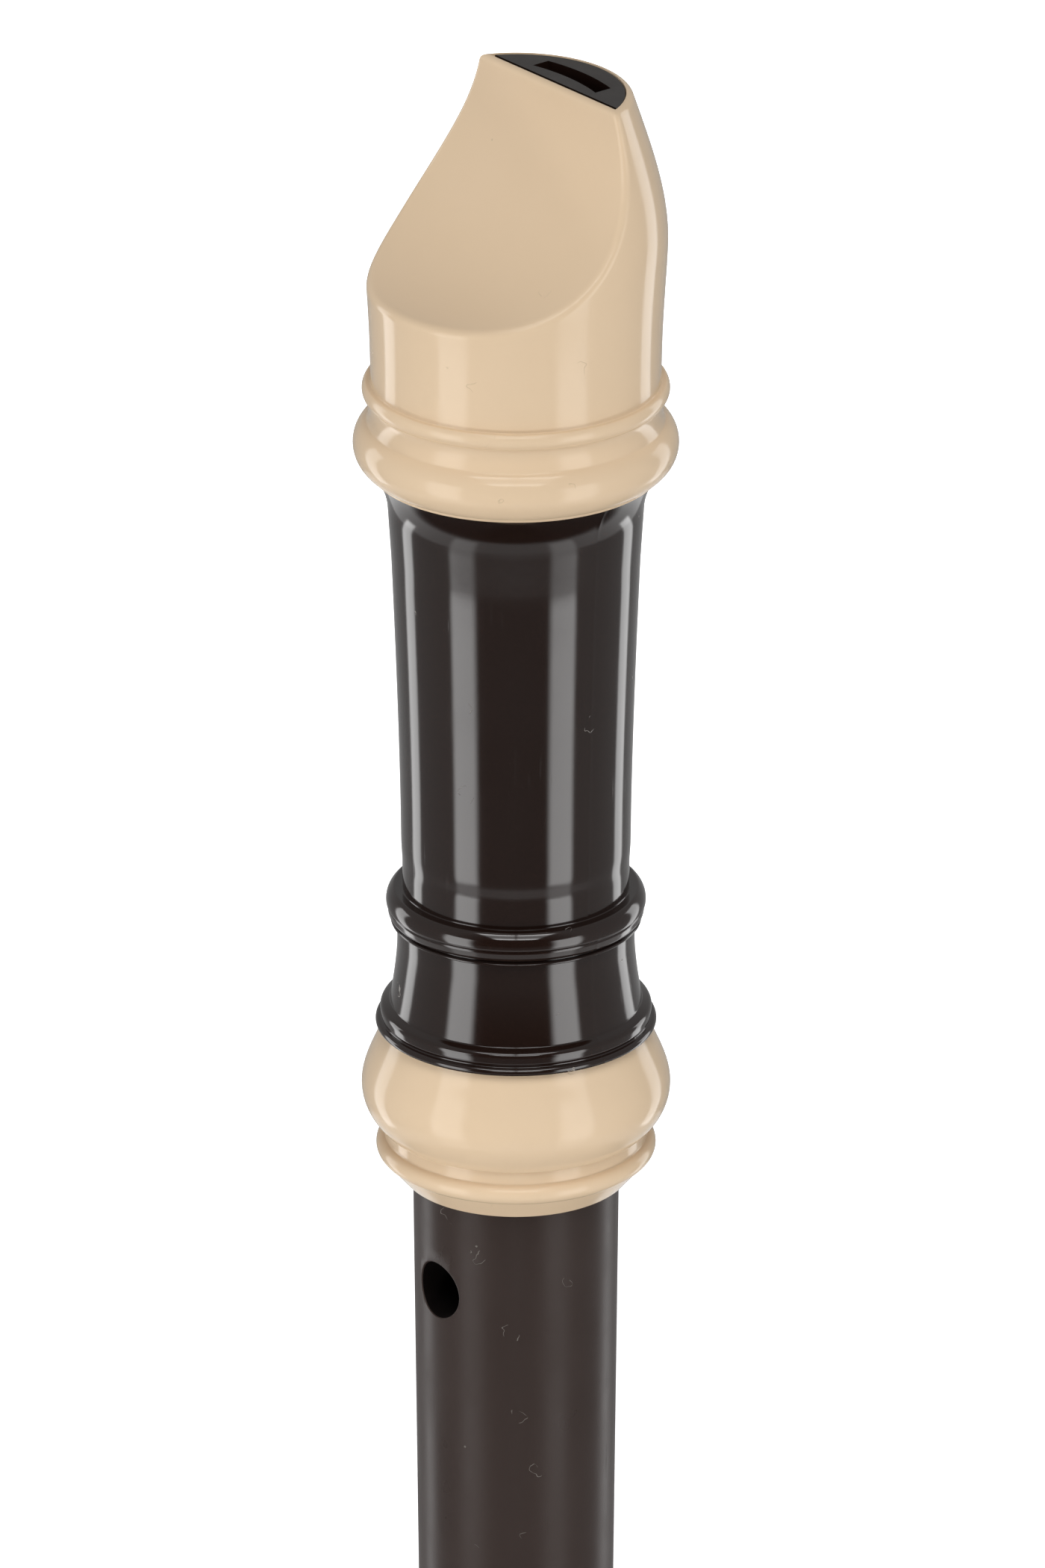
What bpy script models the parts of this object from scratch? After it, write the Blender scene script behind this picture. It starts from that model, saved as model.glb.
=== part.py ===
# Sopranino recorder in F, baroque pattern, moulded in ABS.
# It stands upright on the end of its foot: +Z runs up the bore to the beak, the finger
# holes and the window face -Y, and the thumb hole and the scoop of the beak face +Y.
# The head slides on the upper tenon of the middle joint, and the foot turns on the lower one.
# Sizes are in millimetres and become metres as the meshes are made.

from math import acos, cos, pi, radians, sin, sqrt

import bmesh
import bpy
from mathutils import Matrix, Vector

MM = 0.001

# Round pieces: how many flats go round them, and the angle from which an edge looks sharp
FLATS = 36
SHARP_ANGLE = 32

# Clearances
SEAT_GAP = 0.3          # between two pieces that are glued or pushed together
TENON_CLEARANCE = 0.15  # all round, between a tenon and its socket

# Cutters
OVERRUN = 3.0           # how far a cutter runs past the outside of a piece
END_OVERRUN = 0.01      # how far it runs past a face whose size it sets

# Lengths along the instrument
CAP_LENGTH = 30.4          # tip of the beak to the lower edge of the cap
BARREL_LENGTH = 35.8       # lower edge of the cap to the middle of the barrel's large bead
NECK_LENGTH = 10.3         # large bead to the end of the black rim
SOCKET_RING_LENGTH = 12.8  # black rim to the face that the middle joint butts against
MIDDLE_LENGTH = 101.7      # the middle joint between its two shoulders
FOOT_RING_LENGTH = 9.5     # face of the foot's socket to the black rim under its ring
FOOT_BODY_LENGTH = 37.5    # that rim to the top of the end ring
END_RING_LENGTH = 8.0

# Beak and its cap
TIP_RADIUS = 8.9
TIP_ROUNDING = 0.5
SHOULDER_RADIUS = 11.57    # widest part of the beak
SHOULDER_DEPTH = 11.5      # how far it lies below the tip
CAP_RADIUS = 11.1          # plain stretch above the beads
CAP_BEAD_RADIUS = 11.76
CAP_BEAD_SECTION = 0.8
CAP_BEAD_HEIGHT = 6.65     # above the lower edge of the cap
CAP_BEAD_CREASE = 11.35    # radius of the crease under the thin bead
CAP_RING_RADIUS = 12.46
CAP_RING_SECTION = 2.2
CAP_RING_HEIGHT = 2.2
CAP_RING_CREASE = 11.4
CAP_COVE = 0.15            # depth of the hollow between the bead and the ring
CAP_END_RADIUS = 11.0
TIP_WALL = 0.5
CAP_WALL = 0.95
SCOOP_RADIUS = 14.3        # the hollow that the lower lip rests in
SCOOP_LENGTH = 15.2
SCOOP_TIP_Y = -3.0         # where the hollow reaches the tip
SCOOP_WALL = 0.95

# Windway, window and labium
WINDWAY_ENTRY_WIDTH = 7.5
WINDWAY_ENTRY_FLOOR = 5.4  # distance of the arched floor from the bore's axis
WINDWAY_ENTRY_HEIGHT = 1.5
WINDWAY_EXIT_WIDTH = 7.0
WINDWAY_EXIT_FLOOR = 5.2
WINDWAY_EXIT_HEIGHT = 0.95
WINDWAY_ARCH = 16.0        # radius of the arch across the windway
WINDWAY_OVERLAP = 0.5      # how far the channel runs into the window
WINDOW_DROP = 4.8          # lower edge of the cap to the top of the window
WINDOW_HEIGHT = 3.8        # top of the window to the labium's edge
LABIUM_RISE = 5.5          # distance of the labium's edge from the axis
RAMP_LENGTH = 12.0
RAMP_END_RISE = 9.63       # distance of the ramp's lower end from the axis
HEAD_BORE_RADIUS = 5.2

# Barrel of the head
BARREL_TOP_RADIUS = 9.73
BARREL_LOW_RADIUS = 8.76
BARREL_FLARE = 2.7         # height of the hollow flare under the cap
BARREL_CURVE = 1.55        # exponent of the barrel's hollow taper
BEAD_CREASE = 9.52         # radius of the crease between the two beads
LARGE_BEAD_RADIUS = 10.03
LARGE_BEAD_SECTION = 1.28
SMALL_BEAD_RADIUS = 9.76
SMALL_BEAD_SECTION = 0.45
SMALL_BEAD_DROP = 1.48     # below the large bead
NECK_RADIUS = 9.17
NECK_FLARE_RADIUS = 9.75
NECK_PLAIN = 1.1           # straight stretch under the small bead
NECK_CURVE = 1.5
STEP_RADIUS = 10.5
STEP_SECTION = 0.75
STEP_HEIGHT = 1.3          # above the end of the rim
STEP_CREASE = 10.45        # radius of the crease between the step and the rim
RIM_RADIUS = 10.87
RIM_SECTION = 0.6
RIM_HEIGHT = 0.5
RIM_END_RADIUS = 10.6

# Socket ring of the head
RING_TOP_RADIUS = 10.25
BULB_RADIUS = 11.96
BULB_DEPTH = 5.1           # black rim to the widest part of the bulb
BULB_END_RADIUS = 10.5
BULB_END_DEPTH = 8.3
RING_NECK_RADIUS = 10.15
RING_BEAD_RADIUS = 10.85
RING_BEAD_SECTION = 0.8
RING_BEAD_HEIGHT = 2.55    # above the butting face
LIP_TOP_RADIUS = 10.35     # the straight lip runs from under the bead to the butting face
LIP_RADIUS = 8.8
SLEEVE_WALL = 1.65         # the black sleeve inside the ring, round the socket
RING_FLOOR = 3.2           # how thick the ring is below the end of that sleeve

# Middle joint
MIDDLE_TOP_RADIUS = 8.0
MIDDLE_LOW_RADIUS = 6.9
UPPER_TENON_RADIUS = 6.4
UPPER_TENON_LENGTH = 15.0
LOWER_TENON_RADIUS = 5.2
LOWER_TENON_LENGTH = 8.5
MIDDLE_BORE_TOP = 5.0
MIDDLE_BORE_LOW = 3.9
TENON_GROOVE = 0.25        # depth of the relief between the two lands of a tenon
TENON_LAND = 2.2
CHAMFER = 0.25

# Finger holes, measured down from the upper shoulder of the middle joint
THUMB_HOLE = 8.0
THUMB_HOLE_DIAMETER = 4.55
FIRST_HOLE = 13.7
FINGER_SPACING = 16.0
HAND_SPACING = 18.0        # third hole to fourth hole
HOLE_DIAMETERS = (4.0, 4.5, 4.8, 4.4, 4.6)
DOUBLE_HOLE_DIAMETERS = (2.9, 2.4)
DOUBLE_HOLE_SPREAD = 3.6   # between the centres of a pair
FOOT_HOLE = 14.5           # face of the foot's socket to the last pair

# Foot joint
FOOT_LIP_RADIUS = 7.5
FOOT_LIP_TOP_RADIUS = 8.6
FOOT_RING_BEAD_RADIUS = 9.1
FOOT_RING_BEAD_SECTION = 0.7
FOOT_RING_BEAD_DEPTH = 1.75
FOOT_RING_NECK_RADIUS = 8.5
FOOT_RING_NECK = 0.7       # height of that neck
FOOT_BULB_RADIUS = 10.2
FOOT_BULB_HEIGHT = 3.9     # above the black rim
FOOT_RING_END_RADIUS = 9.3
FOOT_RING_FLOOR = 2.6
FOOT_SLEEVE_WALL = 1.5
FOOT_RIM_RADIUS = 9.6
FOOT_RIM_SECTION = 0.6
FOOT_NECK_RADIUS = 8.35
FOOT_NECK_DROP = 0.2       # where the taper starts, below the rim
FOOT_CURVE = 1.6
WAIST_RADIUS = 7.3
WAIST_HEIGHT = 22.0        # above the end of the foot
FLARE_RADIUS = 8.5
FLARE_CURVE = 1.8
END_BEAD_RADIUS = 9.2
END_BEAD_SECTION = 0.7
END_RING_TOP_RADIUS = 8.9
END_RING_RADIUS = 10.3
END_RING_SECTION = 1.6
END_RING_HEIGHT = 5.5
END_CREASE = 9.4           # radius of the creases above and below the hollow
END_COVE = 0.2
BASE_RADIUS = 9.9
BASE_SECTION = 0.9
BASE_FLAT_RADIUS = 9.2     # outer edge of the flat face that it stands on
SPIGOT_RADIUS = 6.6        # the black foot inside its end ring
FOOT_BORE_TOP = 3.8
FOOT_BORE_LOW = 3.6
BORE_RECESS = 0.6          # how far the black foot stops short of the ring's flat face

# Curves: two handles each, as fractions across and along from the curve's first end
BEAK_SIDE = ((0.5, 0.36), (1.0, 0.68))
BEAK_FALL = ((0.0, 0.19), (1.0, 0.53))
FLARE_SIDE = ((0.41, 0.22), (0.9, 0.56))
BULB_RISE = ((0.18, 0.27), (1.0, 0.65))
BULB_FALL = ((0.0, 0.44), (0.45, 0.75))
FOOT_BULB_RISE = ((0.65, 0.14), (1.0, 0.56))
FOOT_BULB_FALL = ((0.0, 0.41), (0.44, 0.72))

# Heights worked out from the lengths above
FOOT_LENGTH = END_RING_LENGTH + FOOT_BODY_LENGTH + FOOT_RING_LENGTH
HEAD_LENGTH = CAP_LENGTH + BARREL_LENGTH + NECK_LENGTH + SOCKET_RING_LENGTH
UPPER_SOCKET_RADIUS = UPPER_TENON_RADIUS + TENON_CLEARANCE
LOWER_SOCKET_RADIUS = LOWER_TENON_RADIUS + TENON_CLEARANCE
CORE_RADIUS = CAP_RADIUS - CAP_WALL - SEAT_GAP


def clear_scene():
    for item in list(bpy.data.objects):
        bpy.data.objects.remove(item, do_unlink=True)


def srgb(hex_code):
    """A colour written as sRGB hex, turned to the linear values that shaders take."""
    channels = [int(hex_code[i:i + 2], 16) / 255 for i in (0, 2, 4)]
    return [c / 12.92 if c <= 0.04045 else ((c + 0.055) / 1.055) ** 2.4 for c in channels] + [1.0]


def plastic(name, hex_code, roughness):
    material = bpy.data.materials.new(name)
    material.use_nodes = True
    shader = material.node_tree.nodes["Principled BSDF"]
    shader.inputs["Base Color"].default_value = srgb(hex_code)
    shader.inputs["Roughness"].default_value = roughness
    shader.inputs["Metallic"].default_value = 0.0
    return material


# Outlines are lists of (radius, height), from the top down the outer side

def bead(outer, height, section, above=0.0, below=0.0, steps=4):
    """A round bead, cut off at the radii above and below it, or at its middle if they lie deeper."""
    centre = outer - section
    start = acos(max(0.0, (above - centre) / section))
    end = -acos(max(0.0, (below - centre) / section))
    angles = [start + (end - start) * i / steps for i in range(steps + 1)]
    return [(centre + section * cos(a), height + section * sin(a)) for a in angles]


def curve(start, end, handles, steps):
    """A cubic curve whose two handles are fractions of the way across and along."""
    ends = [tuple(s + f * (e - s) for s, e, f in zip(start, end, handle)) for handle in handles]
    points = []
    for i in range(steps + 1):
        t = i / steps
        weights = ((1 - t) ** 3, 3 * t * (1 - t) ** 2, 3 * t * t * (1 - t), t ** 3)
        corners = (start, ends[0], ends[1], end)
        points.append(tuple(sum(w * p[k] for w, p in zip(weights, corners)) for k in (0, 1)))
    return points


def cove(start, end, depth, steps):
    """The points between two ends along a shallow hollow."""
    points = []
    for i in range(1, steps):
        t = i / steps
        radius = start[0] + (end[0] - start[0]) * t - 4 * depth * t * (1 - t)
        points.append((radius, start[1] + (end[1] - start[1]) * t))
    return points


def taper(start, end, exponent, steps):
    """A hollow taper that falls fastest at its start."""
    points = []
    for i in range(steps + 1):
        t = i / steps
        radius = end[0] + (start[0] - end[0]) * (1 - t) ** exponent
        points.append((radius, start[1] + (end[1] - start[1]) * t))
    return points


# Solids

def finished(name, bm, material=None, parent=None, height=0.0):
    """Put a bmesh in the scene as a smooth-shaded object."""
    bmesh.ops.recalc_face_normals(bm, faces=bm.faces)
    mesh = bpy.data.meshes.new(name)
    bm.to_mesh(mesh)
    bm.free()
    mesh.shade_smooth()
    mesh.set_sharp_from_angle(angle=radians(SHARP_ANGLE))
    obj = bpy.data.objects.new(name, mesh)
    bpy.context.scene.collection.objects.link(obj)
    if material:
        mesh.materials.append(material)
    obj.parent = parent
    obj.location.z = height * MM
    return obj


def turned(name, outline, **placing):
    """Spin a closed outline round the bore's axis."""
    bm = bmesh.new()
    ring = [bm.verts.new((r * MM, 0, z * MM)) for r, z in outline]
    edges = [bm.edges.new(pair) for pair in zip(ring, ring[1:] + ring[:1])]
    bmesh.ops.spin(bm, geom=ring + edges, cent=(0, 0, 0), axis=(0, 0, 1), angle=2 * pi,
                   steps=FLATS, use_merge=True)
    bmesh.ops.remove_doubles(bm, verts=bm.verts, dist=1e-6)
    return finished(name, bm, **placing)


def lofted(name, sections, **placing):
    """Join outlines with equal numbers of points into one closed solid."""
    bm = bmesh.new()
    loops = []
    for section in sections:
        verts = [bm.verts.new(Vector(point) * MM) for point in section]
        edges = [bm.edges.new(pair) for pair in zip(verts, verts[1:] + verts[:1])]
        loops.append((verts, edges))
    for (_, upper), (_, lower) in zip(loops, loops[1:]):
        bmesh.ops.bridge_loops(bm, edges=upper + lower)
    for verts, _ in (loops[0], loops[-1]):
        bm.faces.new(verts)
    return finished(name, bm, **placing)


def cut(target, cutter):
    """Take a hidden cutter out of a piece."""
    cutter.hide_render = True
    cutter.display_type = 'WIRE'
    modifier = target.modifiers.new(cutter.name, 'BOOLEAN')
    modifier.operation = 'DIFFERENCE'
    modifier.solver = 'EXACT'
    modifier.object = cutter


def arch(width, distance, steps=6):
    """Points across the windway at this distance from the axis, on the -Y side, arched outwards."""
    half = width / 2
    crown = distance - WINDWAY_ARCH
    xs = [-half + width * i / steps for i in range(steps + 1)]
    return [(x, -(crown + sqrt(WINDWAY_ARCH ** 2 - x * x))) for x in xs]


# Beak

def scoop(name, offset, parent):
    """The hollow under the beak: a round-bottomed cut straight across it, grown by an offset."""
    radius = SCOOP_RADIUS + offset
    centre_y = SCOOP_TIP_Y + SCOOP_RADIUS
    centre_z = HEAD_LENGTH - SCOOP_LENGTH + SCOOP_RADIUS
    steps = 20
    angles = [pi + pi / 2 * i / steps for i in range(steps + 1)]
    outline = [(centre_y + radius * cos(a), centre_z + radius * sin(a)) for a in angles]
    outline.append((SHOULDER_RADIUS + OVERRUN, centre_z - radius))
    outline.append((SHOULDER_RADIUS + OVERRUN, HEAD_LENGTH + OVERRUN))
    outline.append((centre_y - radius, HEAD_LENGTH + OVERRUN))
    reach = SHOULDER_RADIUS + OVERRUN
    sides = [[(x, y, z) for y, z in outline] for x in (-reach, reach)]
    return lofted(name, sides, parent=parent)


def beak_outline(outer_tip, outer_shoulder, top):
    """The side of the beak from the tip to its widest part and on to the plain stretch."""
    shoulder = HEAD_LENGTH - SHOULDER_DEPTH
    plain = HEAD_LENGTH - CAP_LENGTH + CAP_BEAD_HEIGHT + CAP_BEAD_SECTION
    wall = CAP_RADIUS - (SHOULDER_RADIUS - outer_shoulder)
    side = curve((outer_tip, top), (outer_shoulder, shoulder), BEAK_SIDE, 5)
    side += curve((outer_shoulder, shoulder), (wall, plain), BEAK_FALL, 3)[1:]
    return side


def make_beak_cap(ivory, head):
    edge = HEAD_LENGTH - CAP_LENGTH
    bead_z = edge + CAP_BEAD_HEIGHT
    ring_z = edge + CAP_RING_HEIGHT
    thin_bead = bead(CAP_BEAD_RADIUS, bead_z, CAP_BEAD_SECTION, CAP_RADIUS, CAP_BEAD_CREASE)
    large_ring = bead(CAP_RING_RADIUS, ring_z, CAP_RING_SECTION, CAP_RING_CREASE, CAP_END_RADIUS, 7)
    outline = [(0, HEAD_LENGTH)]
    for angle in (0, pi / 6, pi / 3):
        outline.append((TIP_RADIUS - TIP_ROUNDING * (1 - sin(angle)),
                        HEAD_LENGTH - TIP_ROUNDING * (1 - cos(angle))))
    outline += beak_outline(TIP_RADIUS, SHOULDER_RADIUS, HEAD_LENGTH - TIP_ROUNDING)
    outline += thin_bead + cove(thin_bead[-1], large_ring[0], CAP_COVE, 4) + large_ring
    outline += [(CAP_END_RADIUS, edge), (0, edge)]
    cap = turned("beak_cap", outline, material=ivory, parent=head)
    cut(cap, scoop("beak_scoop", 0.0, head))

    hollow = [(0, HEAD_LENGTH + OVERRUN), (TIP_RADIUS - TIP_WALL, HEAD_LENGTH + OVERRUN)]
    hollow += core_outline(SEAT_GAP, HEAD_LENGTH)
    hollow += [(CORE_RADIUS + SEAT_GAP, edge - OVERRUN), (0, edge - OVERRUN)]
    hollow = turned("cap_hollow", hollow, parent=head)
    cut(hollow, scoop("cap_hollow_scoop", SCOOP_WALL, head))
    cut(cap, hollow)


def core_outline(growth, top):
    """The side of the black core inside the cap, from the tip to the stretch under the beads."""
    tip = TIP_RADIUS - TIP_WALL - SEAT_GAP + growth
    shoulder = CORE_RADIUS + growth
    return curve((tip, top), (shoulder, top - SHOULDER_DEPTH), BEAK_SIDE, 4)


def make_head_tube(black, head):
    cap_edge = HEAD_LENGTH - CAP_LENGTH
    flare_top = cap_edge - SEAT_GAP
    flare_low = flare_top - BARREL_FLARE
    bead_z = cap_edge - BARREL_LENGTH
    small_z = bead_z - SMALL_BEAD_DROP
    rim_end = bead_z - NECK_LENGTH

    outline = core_outline(0.0, HEAD_LENGTH)
    outline.append((CORE_RADIUS, flare_top))
    outline += curve((CAP_END_RADIUS, flare_top), (BARREL_TOP_RADIUS, flare_low), FLARE_SIDE, 4)
    outline += taper((BARREL_TOP_RADIUS, flare_low), (BARREL_LOW_RADIUS, bead_z + LARGE_BEAD_SECTION),
                     BARREL_CURVE, 4)[1:]
    outline += bead(LARGE_BEAD_RADIUS, bead_z, LARGE_BEAD_SECTION, BARREL_LOW_RADIUS, BEAD_CREASE, 5)
    outline += bead(SMALL_BEAD_RADIUS, small_z, SMALL_BEAD_SECTION, BEAD_CREASE)
    neck_top = small_z - SMALL_BEAD_SECTION
    outline.append((NECK_RADIUS, neck_top))
    flare = taper((NECK_FLARE_RADIUS, rim_end + STEP_HEIGHT + STEP_SECTION),
                  (NECK_RADIUS, neck_top - NECK_PLAIN), NECK_CURVE, 4)
    outline += list(reversed(flare))
    step = bead(STEP_RADIUS, rim_end + STEP_HEIGHT, STEP_SECTION, NECK_FLARE_RADIUS, STEP_CREASE)
    outline += step[1:]
    outline += bead(RIM_RADIUS, rim_end + RIM_HEIGHT, RIM_SECTION, STEP_CREASE, RIM_END_RADIUS)[1:]
    outline[-1] = (RIM_END_RADIUS, rim_end)
    sleeve = UPPER_SOCKET_RADIUS + SLEEVE_WALL
    outline += [(sleeve, rim_end), (sleeve, RING_FLOOR + SEAT_GAP)]
    outline += [(UPPER_SOCKET_RADIUS, RING_FLOOR + SEAT_GAP)]
    socket_top = UPPER_TENON_LENGTH + SEAT_GAP
    outline += [(UPPER_SOCKET_RADIUS, socket_top), (HEAD_BORE_RADIUS, socket_top)]
    outline.append((HEAD_BORE_RADIUS, HEAD_LENGTH))
    tube = turned("head_tube", outline, material=black, parent=head)
    cut(tube, scoop("core_scoop", SCOOP_WALL + SEAT_GAP, head))
    cut(tube, windway_channel(head))
    cut(tube, window_and_ramp(head))


def windway_channel(head):
    """The channel in the head whose outer side is the windway's roof."""
    window_top = HEAD_LENGTH - CAP_LENGTH - WINDOW_DROP
    entry = (WINDWAY_ENTRY_WIDTH, WINDWAY_ENTRY_FLOOR + WINDWAY_ENTRY_HEIGHT, HEAD_LENGTH + END_OVERRUN)
    leave = (WINDWAY_EXIT_WIDTH, WINDWAY_EXIT_FLOOR + WINDWAY_EXIT_HEIGHT, window_top - WINDWAY_OVERLAP)
    sections = []
    for width, roof, z in (entry, leave):
        section = arch(width, roof) + [(width / 2, 0.0), (-width / 2, 0.0)]
        sections.append([(x, y, z) for x, y in section])
    return lofted("windway_channel", sections, parent=head)


def window_and_ramp(head):
    """The window through the wall, with the sloping ramp that ends in the labium's edge."""
    window_top = HEAD_LENGTH - CAP_LENGTH - WINDOW_DROP
    edge_z = window_top - WINDOW_HEIGHT
    outside = BARREL_TOP_RADIUS + OVERRUN
    sections = []
    for (x, labium), (_, ramp) in zip(arch(WINDWAY_EXIT_WIDTH, LABIUM_RISE),
                                      arch(WINDWAY_EXIT_WIDTH, RAMP_END_RISE)):
        sections.append([(x, -outside, window_top), (x, -HEAD_BORE_RADIUS / 2, window_top),
                         (x, -HEAD_BORE_RADIUS / 2, edge_z), (x, labium, edge_z),
                         (x, ramp, edge_z - RAMP_LENGTH), (x, -outside, edge_z - RAMP_LENGTH)])
    return lofted("window_and_ramp", sections, parent=head)


def make_windway_block(black, head):
    """The block that plugs the bore: a round plug with a key whose top is the windway's floor."""
    window_top = HEAD_LENGTH - CAP_LENGTH - WINDOW_DROP
    plug = HEAD_BORE_RADIUS - SEAT_GAP
    sections = []
    for width, floor, z in ((WINDWAY_ENTRY_WIDTH, WINDWAY_ENTRY_FLOOR, HEAD_LENGTH),
                            (WINDWAY_EXIT_WIDTH, WINDWAY_EXIT_FLOOR, window_top)):
        key = width - 2 * SEAT_GAP
        start = -acos(key / 2 / plug)
        steps = 16
        turn = pi - 2 * start
        section = arch(key, floor)
        for i in range(steps + 1):
            angle = start + turn * i / steps
            section.append((plug * cos(angle), plug * sin(angle)))
        sections.append([(x, y, z) for x, y in section])
    block = lofted("windway_block", sections, material=black, parent=head)
    cut(block, scoop("block_scoop", SCOOP_WALL + SEAT_GAP, head))


def make_head_socket_ring(ivory, head):
    top = SOCKET_RING_LENGTH - SEAT_GAP
    wide = SOCKET_RING_LENGTH - BULB_DEPTH
    low = SOCKET_RING_LENGTH - BULB_END_DEPTH
    outline = curve((RING_TOP_RADIUS, top), (BULB_RADIUS, wide), BULB_RISE, 5)
    outline += curve((BULB_RADIUS, wide), (BULB_END_RADIUS, low), BULB_FALL, 5)[1:]
    outline.append((RING_NECK_RADIUS, low))
    outline += bead(RING_BEAD_RADIUS, RING_BEAD_HEIGHT, RING_BEAD_SECTION, RING_NECK_RADIUS,
                    LIP_TOP_RADIUS, 5)
    outline.append((LIP_RADIUS, 0))
    socket = UPPER_SOCKET_RADIUS
    sleeve = UPPER_SOCKET_RADIUS + SLEEVE_WALL + SEAT_GAP
    outline += [(socket, 0), (socket, RING_FLOOR), (sleeve, RING_FLOOR), (sleeve, top)]
    turned("head_socket_ring", outline, material=ivory, parent=head)


# Middle joint

def tenon(radius, length, shoulder, way):
    """The outer side of a tenon, from its shoulder to its end: two lands with a relief between."""
    relief = radius - TENON_GROOVE
    steps = ((radius, 0), (radius, TENON_LAND), (relief, TENON_LAND + TENON_GROOVE),
             (relief, length - TENON_LAND - TENON_GROOVE), (radius, length - TENON_LAND),
             (radius, length - CHAMFER), (radius - CHAMFER, length))
    return [(r, shoulder + way * z) for r, z in steps]


def drill(bm, diameter, x, z, way):
    """A round hole through one wall, along Y."""
    reach = 2 * MIDDLE_TOP_RADIUS
    place = Matrix.Translation(Vector((x, way * reach / 2, z)) * MM) @ Matrix.Rotation(pi / 2, 4, 'X')
    bmesh.ops.create_cone(bm, cap_ends=True, segments=16, radius1=diameter / 2 * MM,
                          radius2=diameter / 2 * MM, depth=reach * MM, matrix=place)


def double_drill(bm, z):
    for side, diameter in zip((-1, 1), DOUBLE_HOLE_DIAMETERS):
        drill(bm, diameter, side * DOUBLE_HOLE_SPREAD / 2, z, -1)


def make_middle_joint(satin):
    shoulder = MIDDLE_LENGTH - SEAT_GAP
    upper = list(reversed(tenon(UPPER_TENON_RADIUS, UPPER_TENON_LENGTH, shoulder, 1)))
    lower = tenon(LOWER_TENON_RADIUS, LOWER_TENON_LENGTH, SEAT_GAP, -1)
    outline = upper + [(MIDDLE_TOP_RADIUS - CHAMFER, shoulder), (MIDDLE_TOP_RADIUS, shoulder - CHAMFER),
                       (MIDDLE_LOW_RADIUS, SEAT_GAP + CHAMFER), (MIDDLE_LOW_RADIUS - CHAMFER, SEAT_GAP)]
    outline += lower
    outline += [(MIDDLE_BORE_LOW, lower[-1][1]), (MIDDLE_BORE_TOP, upper[0][1])]
    middle = turned("middle_joint", outline, material=satin, height=FOOT_LENGTH)

    holes = bmesh.new()
    drill(holes, THUMB_HOLE_DIAMETER, 0, MIDDLE_LENGTH - THUMB_HOLE, 1)
    depth = FIRST_HOLE
    for number, diameter in enumerate(HOLE_DIAMETERS, 1):
        drill(holes, diameter, 0, MIDDLE_LENGTH - depth, -1)
        depth += HAND_SPACING if number == 3 else FINGER_SPACING
    double_drill(holes, MIDDLE_LENGTH - depth)
    cut(middle, finished("finger_holes", holes, height=FOOT_LENGTH))


# Foot joint

def make_foot_tube(black, foot):
    rim_top = FOOT_LENGTH - FOOT_RING_LENGTH
    rim_z = rim_top - FOOT_RIM_SECTION
    end_top = END_RING_LENGTH
    sleeve = LOWER_SOCKET_RADIUS + FOOT_SLEEVE_WALL
    sleeve_top = FOOT_LENGTH - FOOT_RING_FLOOR - SEAT_GAP
    outline = [(sleeve, sleeve_top), (sleeve, rim_top)]
    outline += bead(FOOT_RIM_RADIUS, rim_z, FOOT_RIM_SECTION)
    outline += taper((FOOT_NECK_RADIUS, rim_z - FOOT_RIM_SECTION - FOOT_NECK_DROP),
                     (WAIST_RADIUS, WAIST_HEIGHT), FOOT_CURVE, 4)
    bead_z = end_top + SEAT_GAP + END_BEAD_SECTION
    flare = taper((FLARE_RADIUS, bead_z + END_BEAD_SECTION), (WAIST_RADIUS, WAIST_HEIGHT),
                  FLARE_CURVE, 4)
    outline += list(reversed(flare))[1:]
    outline += bead(END_BEAD_RADIUS, bead_z, END_BEAD_SECTION, FLARE_RADIUS)[1:]
    outline.append((SPIGOT_RADIUS, end_top + SEAT_GAP))
    outline += [(SPIGOT_RADIUS, BORE_RECESS), (FOOT_BORE_LOW + CHAMFER, BORE_RECESS)]
    outline.append((FOOT_BORE_LOW, BORE_RECESS + CHAMFER))
    socket_floor = FOOT_LENGTH - LOWER_TENON_LENGTH - SEAT_GAP
    outline += [(FOOT_BORE_TOP, socket_floor), (LOWER_SOCKET_RADIUS, socket_floor)]
    outline.append((LOWER_SOCKET_RADIUS, sleeve_top))
    tube = turned("foot_tube", outline, material=black, parent=foot)

    holes = bmesh.new()
    double_drill(holes, FOOT_LENGTH - FOOT_HOLE)
    cut(tube, finished("foot_holes", holes, parent=foot))


def make_foot_socket_ring(ivory, foot):
    low = FOOT_LENGTH - FOOT_RING_LENGTH + SEAT_GAP
    wide = low + FOOT_BULB_HEIGHT
    bead_z = FOOT_LENGTH - FOOT_RING_BEAD_DEPTH
    outline = [(FOOT_LIP_RADIUS, FOOT_LENGTH)]
    outline += bead(FOOT_RING_BEAD_RADIUS, bead_z, FOOT_RING_BEAD_SECTION, FOOT_LIP_TOP_RADIUS,
                    FOOT_RING_NECK_RADIUS)
    neck_low = bead_z - FOOT_RING_BEAD_SECTION - FOOT_RING_NECK
    outline += curve((FOOT_RING_NECK_RADIUS, neck_low), (FOOT_BULB_RADIUS, wide), FOOT_BULB_RISE, 4)
    outline += curve((FOOT_BULB_RADIUS, wide), (FOOT_RING_END_RADIUS, low), FOOT_BULB_FALL, 4)[1:]
    sleeve = LOWER_SOCKET_RADIUS + FOOT_SLEEVE_WALL + SEAT_GAP
    floor = FOOT_LENGTH - FOOT_RING_FLOOR
    outline += [(sleeve, low), (sleeve, floor), (LOWER_SOCKET_RADIUS, floor)]
    outline.append((LOWER_SOCKET_RADIUS, FOOT_LENGTH))
    turned("foot_socket_ring", outline, material=ivory, parent=foot)


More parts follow.
